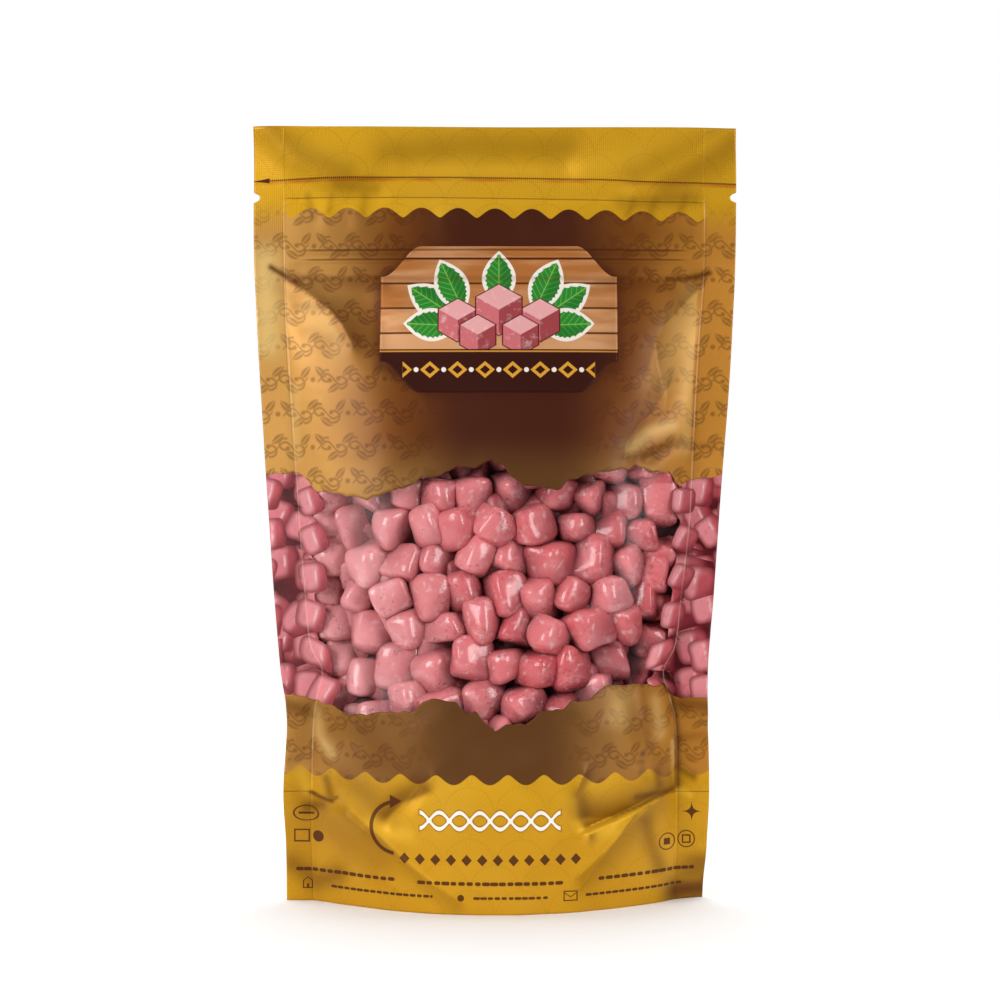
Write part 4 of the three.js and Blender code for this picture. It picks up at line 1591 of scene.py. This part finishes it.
def sweet_finish(name, coat):
    """Soft uneven pink with pits and a moist shine; painted shade makes it darker low down between the
    sweets and on each sweet's right and lower side, and a painted haze makes it paler to the left.
    """
    f = Finish(name)
    f.colour(covered(
        "#da6167",
        ("#f18c90", f.attribute("tone")),
        ("#f2a0a2", f.noise(7, 3.0).ramp(0.5, 0.8, 0.0, 0.42)),
        ("#c0454e", f.noise(6, 2.0, shift=(4, 8, 2)).ramp(0.5, 0.75, 0.0, 0.4)),
        ("#a8343c", f.noise(1.2, 3.0).ramp(0.6, 0.8, 0.0, 0.35)),
        ("#fbd0d0", f.noise(2.6, 3.0, shift=(9, 1, 5)).ramp(0.56, 0.7, 0.0, 0.46)),
        # Paler to the left: painted haze
        ("#f4b0b2", f.x.ramp(6.0, -56.0, 0.0, 0.6)),
        # Painted shade on each sweet's right and lower side
        ("#86131f", f.attribute("painted_shade") * f.x.ramp(-60.0, 10.0, 0.34, 0.6)),
        # Painted shade deep between the sweets
        ("#56121a", f.attribute("sunk").ramp(3.5, 11.5) * f.x.ramp(-55.0, 0.0, 0.4, 0.92)),
    ))
    pits = f.noise(1.3, 2.0, shift=(5, 2, 9)).ramp(0.58, 0.7)
    patchy = f.noise(11, 1.0, shift=(1, 4, 2)).ramp(0.5, 0.62)
    f.bump(1.0 - pits * patchy, 0.8, 0.45)
    f.bump(f.noise(3.8, 2.0), 0.5, 0.7)
    f.bump(f.noise(1.5, 4.0, shift=(7, 3, 1)), 0.6, 0.45)
    f.bump(f.noise(0.5, 2.0), 0.3, 0.08)
    f.vary("Roughness", f.noise(4, 2.0).ramp(0.35, 0.7, 0.4, 0.6))
    f.set(
        Subsurface_Weight=0.1, Subsurface_Scale=0.0012, Specular_IOR_Level=0.4,
        Coat_Weight=coat, Coat_Roughness=0.16,
    )
    f.shader.inputs["Subsurface Radius"].default_value = (1.0, 0.35, 0.3)
    return f.material


def core_finish():
    """Dark red, painted shade for the depth between the sweets."""
    f = Finish("heap_core")
    f.colour(cover("#26080a", "#4f161b", f.noise(6, 3.0).ramp(0.3, 0.75)))
    f.set(Roughness=0.55)
    return f.material


# ---- Making the pieces ----

FILM_THICKNESS = 0.12
WINDOW_THICKNESS = 0.08
EMBLEM_THICKNESS = 0.04
STRIP_GRID = (24, 220)
WINDOW_GRID = (150, 84)
BACK_COLUMNS = 160
GUSSET_GRID = (80, 40)
EMBLEM_GRID = (110, 70)
CORE_GRID = (90, 60)
FRONT_CUTS = 7
SECOND_CUTS = 4
FRONT_SEED = 31
SECOND_SEED = 47
SECOND_SHIFT = 5.5


def film_piece(name, columns, rows, place, material, slot="printed_film", thickness=FILM_THICKNESS):
    """A sheet of film with the numbers that its material reads: how far past the seam, painted shade and
    painted highlights.
    """
    mesh = sheet_mesh(name, columns, rows, place)
    x, _, z = points_of(mesh).T / MM
    panel = "back" if name == "back" else "front"
    add_numbers(mesh, "past_seam", np.abs(x) - seam(x, z))
    add_numbers(mesh, "painted_shade", painted_shade(x, z, panel))
    add_numbers(mesh, "crease_highlight", along_creases(CREASE_HIGHLIGHTS, x, z) * (panel == "front"))
    return thicken(new_piece(name, mesh, material), thickness)


def make_pouch():
    top = film_piece("front_top", COLUMNS, len(TOP_ROWS) - 1, upper_front, top_print())
    foot = film_piece("front_foot", COLUMNS, len(FOOT_ROWS) - 1, lower_front, foot_print())
    strip = strip_print()
    left = film_piece("strip_left", *STRIP_GRID, seal_strip(-1), strip)
    right = film_piece("strip_right", *STRIP_GRID, seal_strip(1), strip)
    window = film_piece("window", *WINDOW_GRID, clear_front, clear_finish(), "clear_film", WINDOW_THICKNESS)
    rear = film_piece("back", BACK_COLUMNS, len(BACK_ROWS) - 1, back, plain_print())
    under = film_piece("gusset", *GUSSET_GRID, gusset, gusset_print())
    emblem = film_piece("emblem", *EMBLEM_GRID, emblem_place, emblem_print(), thickness=EMBLEM_THICKNESS)
    for piece in (top, foot, left, right, window, rear, under, emblem):
        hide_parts("pouch")


def make_sweets():
    pink = sweet_finish("pink_sweet", 0.8)
    front = sweets_piece("sweets_front", heap_layout(HEAP_SEED, 0), FRONT_CUTS, pink, FRONT_SEED)
    deeper = heap_layout(HEAP_SEED + 5, SECOND_SHIFT)
    for sweet in deeper:
        sweet["drop"] += SECOND_DEPTH
    dull = sweet_finish("pink_sweet_deeper", 0.1)
    second = sweets_piece("sweets_second", deeper, SECOND_CUTS, dull, SECOND_SEED)
    mesh = sheet_mesh("heap_core", *CORE_GRID, heap_core)
    core = new_piece("heap_core", mesh, core_finish())
    for piece in (front, second, core):
        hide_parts("sweets")


# ---- Floor, lights and camera ----

CAMERA_ACROSS = 1.56
CAMERA_AWAY = 740.0
CAMERA_HEIGHT = 132.5
LENS_PER_SENSOR = 2.234


def make_floor():
    """A pale floor; the pale surround beyond it is the world, set with the lights."""
    bm = bmesh.new()
    reach = Matrix.Translation((0, 0.22, 0)) @ Matrix.Diagonal((0.5, 0.4, 1, 1))
    bmesh.ops.create_grid(bm, x_segments=2, y_segments=2, size=1, matrix=reach)
    mesh = mesh_from(bm, "floor")
    floor = add_object("floor", mesh)
    f = Finish("pale_floor")
    f.colour(cover("#fafafa", "#f7f7f6", f.noise(300, 2.0)))
    f.set(Roughness=0.8, Specular_IOR_Level=0.1)
    mesh.materials.append(f.material)


def area_light(name, place, target, size, power):
    light = bpy.data.lights.new(name, "AREA")
    light.shape = "RECTANGLE"
    light.size, light.size_y = size
    light.energy = power
    holder = add_object(name, light)
    holder.location = place
    aim = Vector(target) - Vector(place)
    holder.rotation_euler = aim.to_track_quat("-Z", "Y").to_euler()


def make_lights():
    area_light("left_softbox", (-0.74, -0.72, 0.52), (0, 0, 0.14), (0.5, 0.7), 9.0)
    area_light("right_softbox", (0.80, -0.60, 0.46), (0, 0, 0.13), (0.3, 0.7), 5.8)
    area_light("overhead", (0, 0.55, 1.2), (0, 0.3, 0), (2.4, 1.2), 25)
    world = bpy.data.worlds.new("soft_surround")
    world.use_nodes = True
    nodes, links = world.node_tree.nodes, world.node_tree.links
    dim, pale = nodes["Background"], nodes.new("ShaderNodeBackground")
    dim.inputs[0].default_value = pale.inputs[0].default_value = (1, 1, 1, 1)
    dim.inputs[1].default_value = 0.07
    pale.inputs[1].default_value = 1.0
    seen = nodes.new("ShaderNodeLightPath").outputs["Is Camera Ray"]
    mix = nodes.new("ShaderNodeMixShader")
    links.new(seen, mix.inputs[0])
    links.new(dim.outputs[0], mix.inputs[1])
    links.new(pale.outputs[0], mix.inputs[2])
    links.new(mix.outputs[0], nodes["World Output"].inputs["Surface"])
    bpy.context.scene.world = world
    bpy.context.scene.view_settings.view_transform = "Standard"


def make_camera():
    camera = bpy.data.cameras.new("camera")
    camera.sensor_width = 36
    camera.lens = 36 * LENS_PER_SENSOR
    holder = add_object("camera", camera)
    holder.location = (CAMERA_ACROSS * MM, -CAMERA_AWAY * MM, CAMERA_HEIGHT * MM)
    holder.rotation_euler = (math.pi / 2, 0, 0)
    bpy.context.scene.camera = holder


make_camera()
make_lights()
make_floor()
make_pouch()
make_sweets()
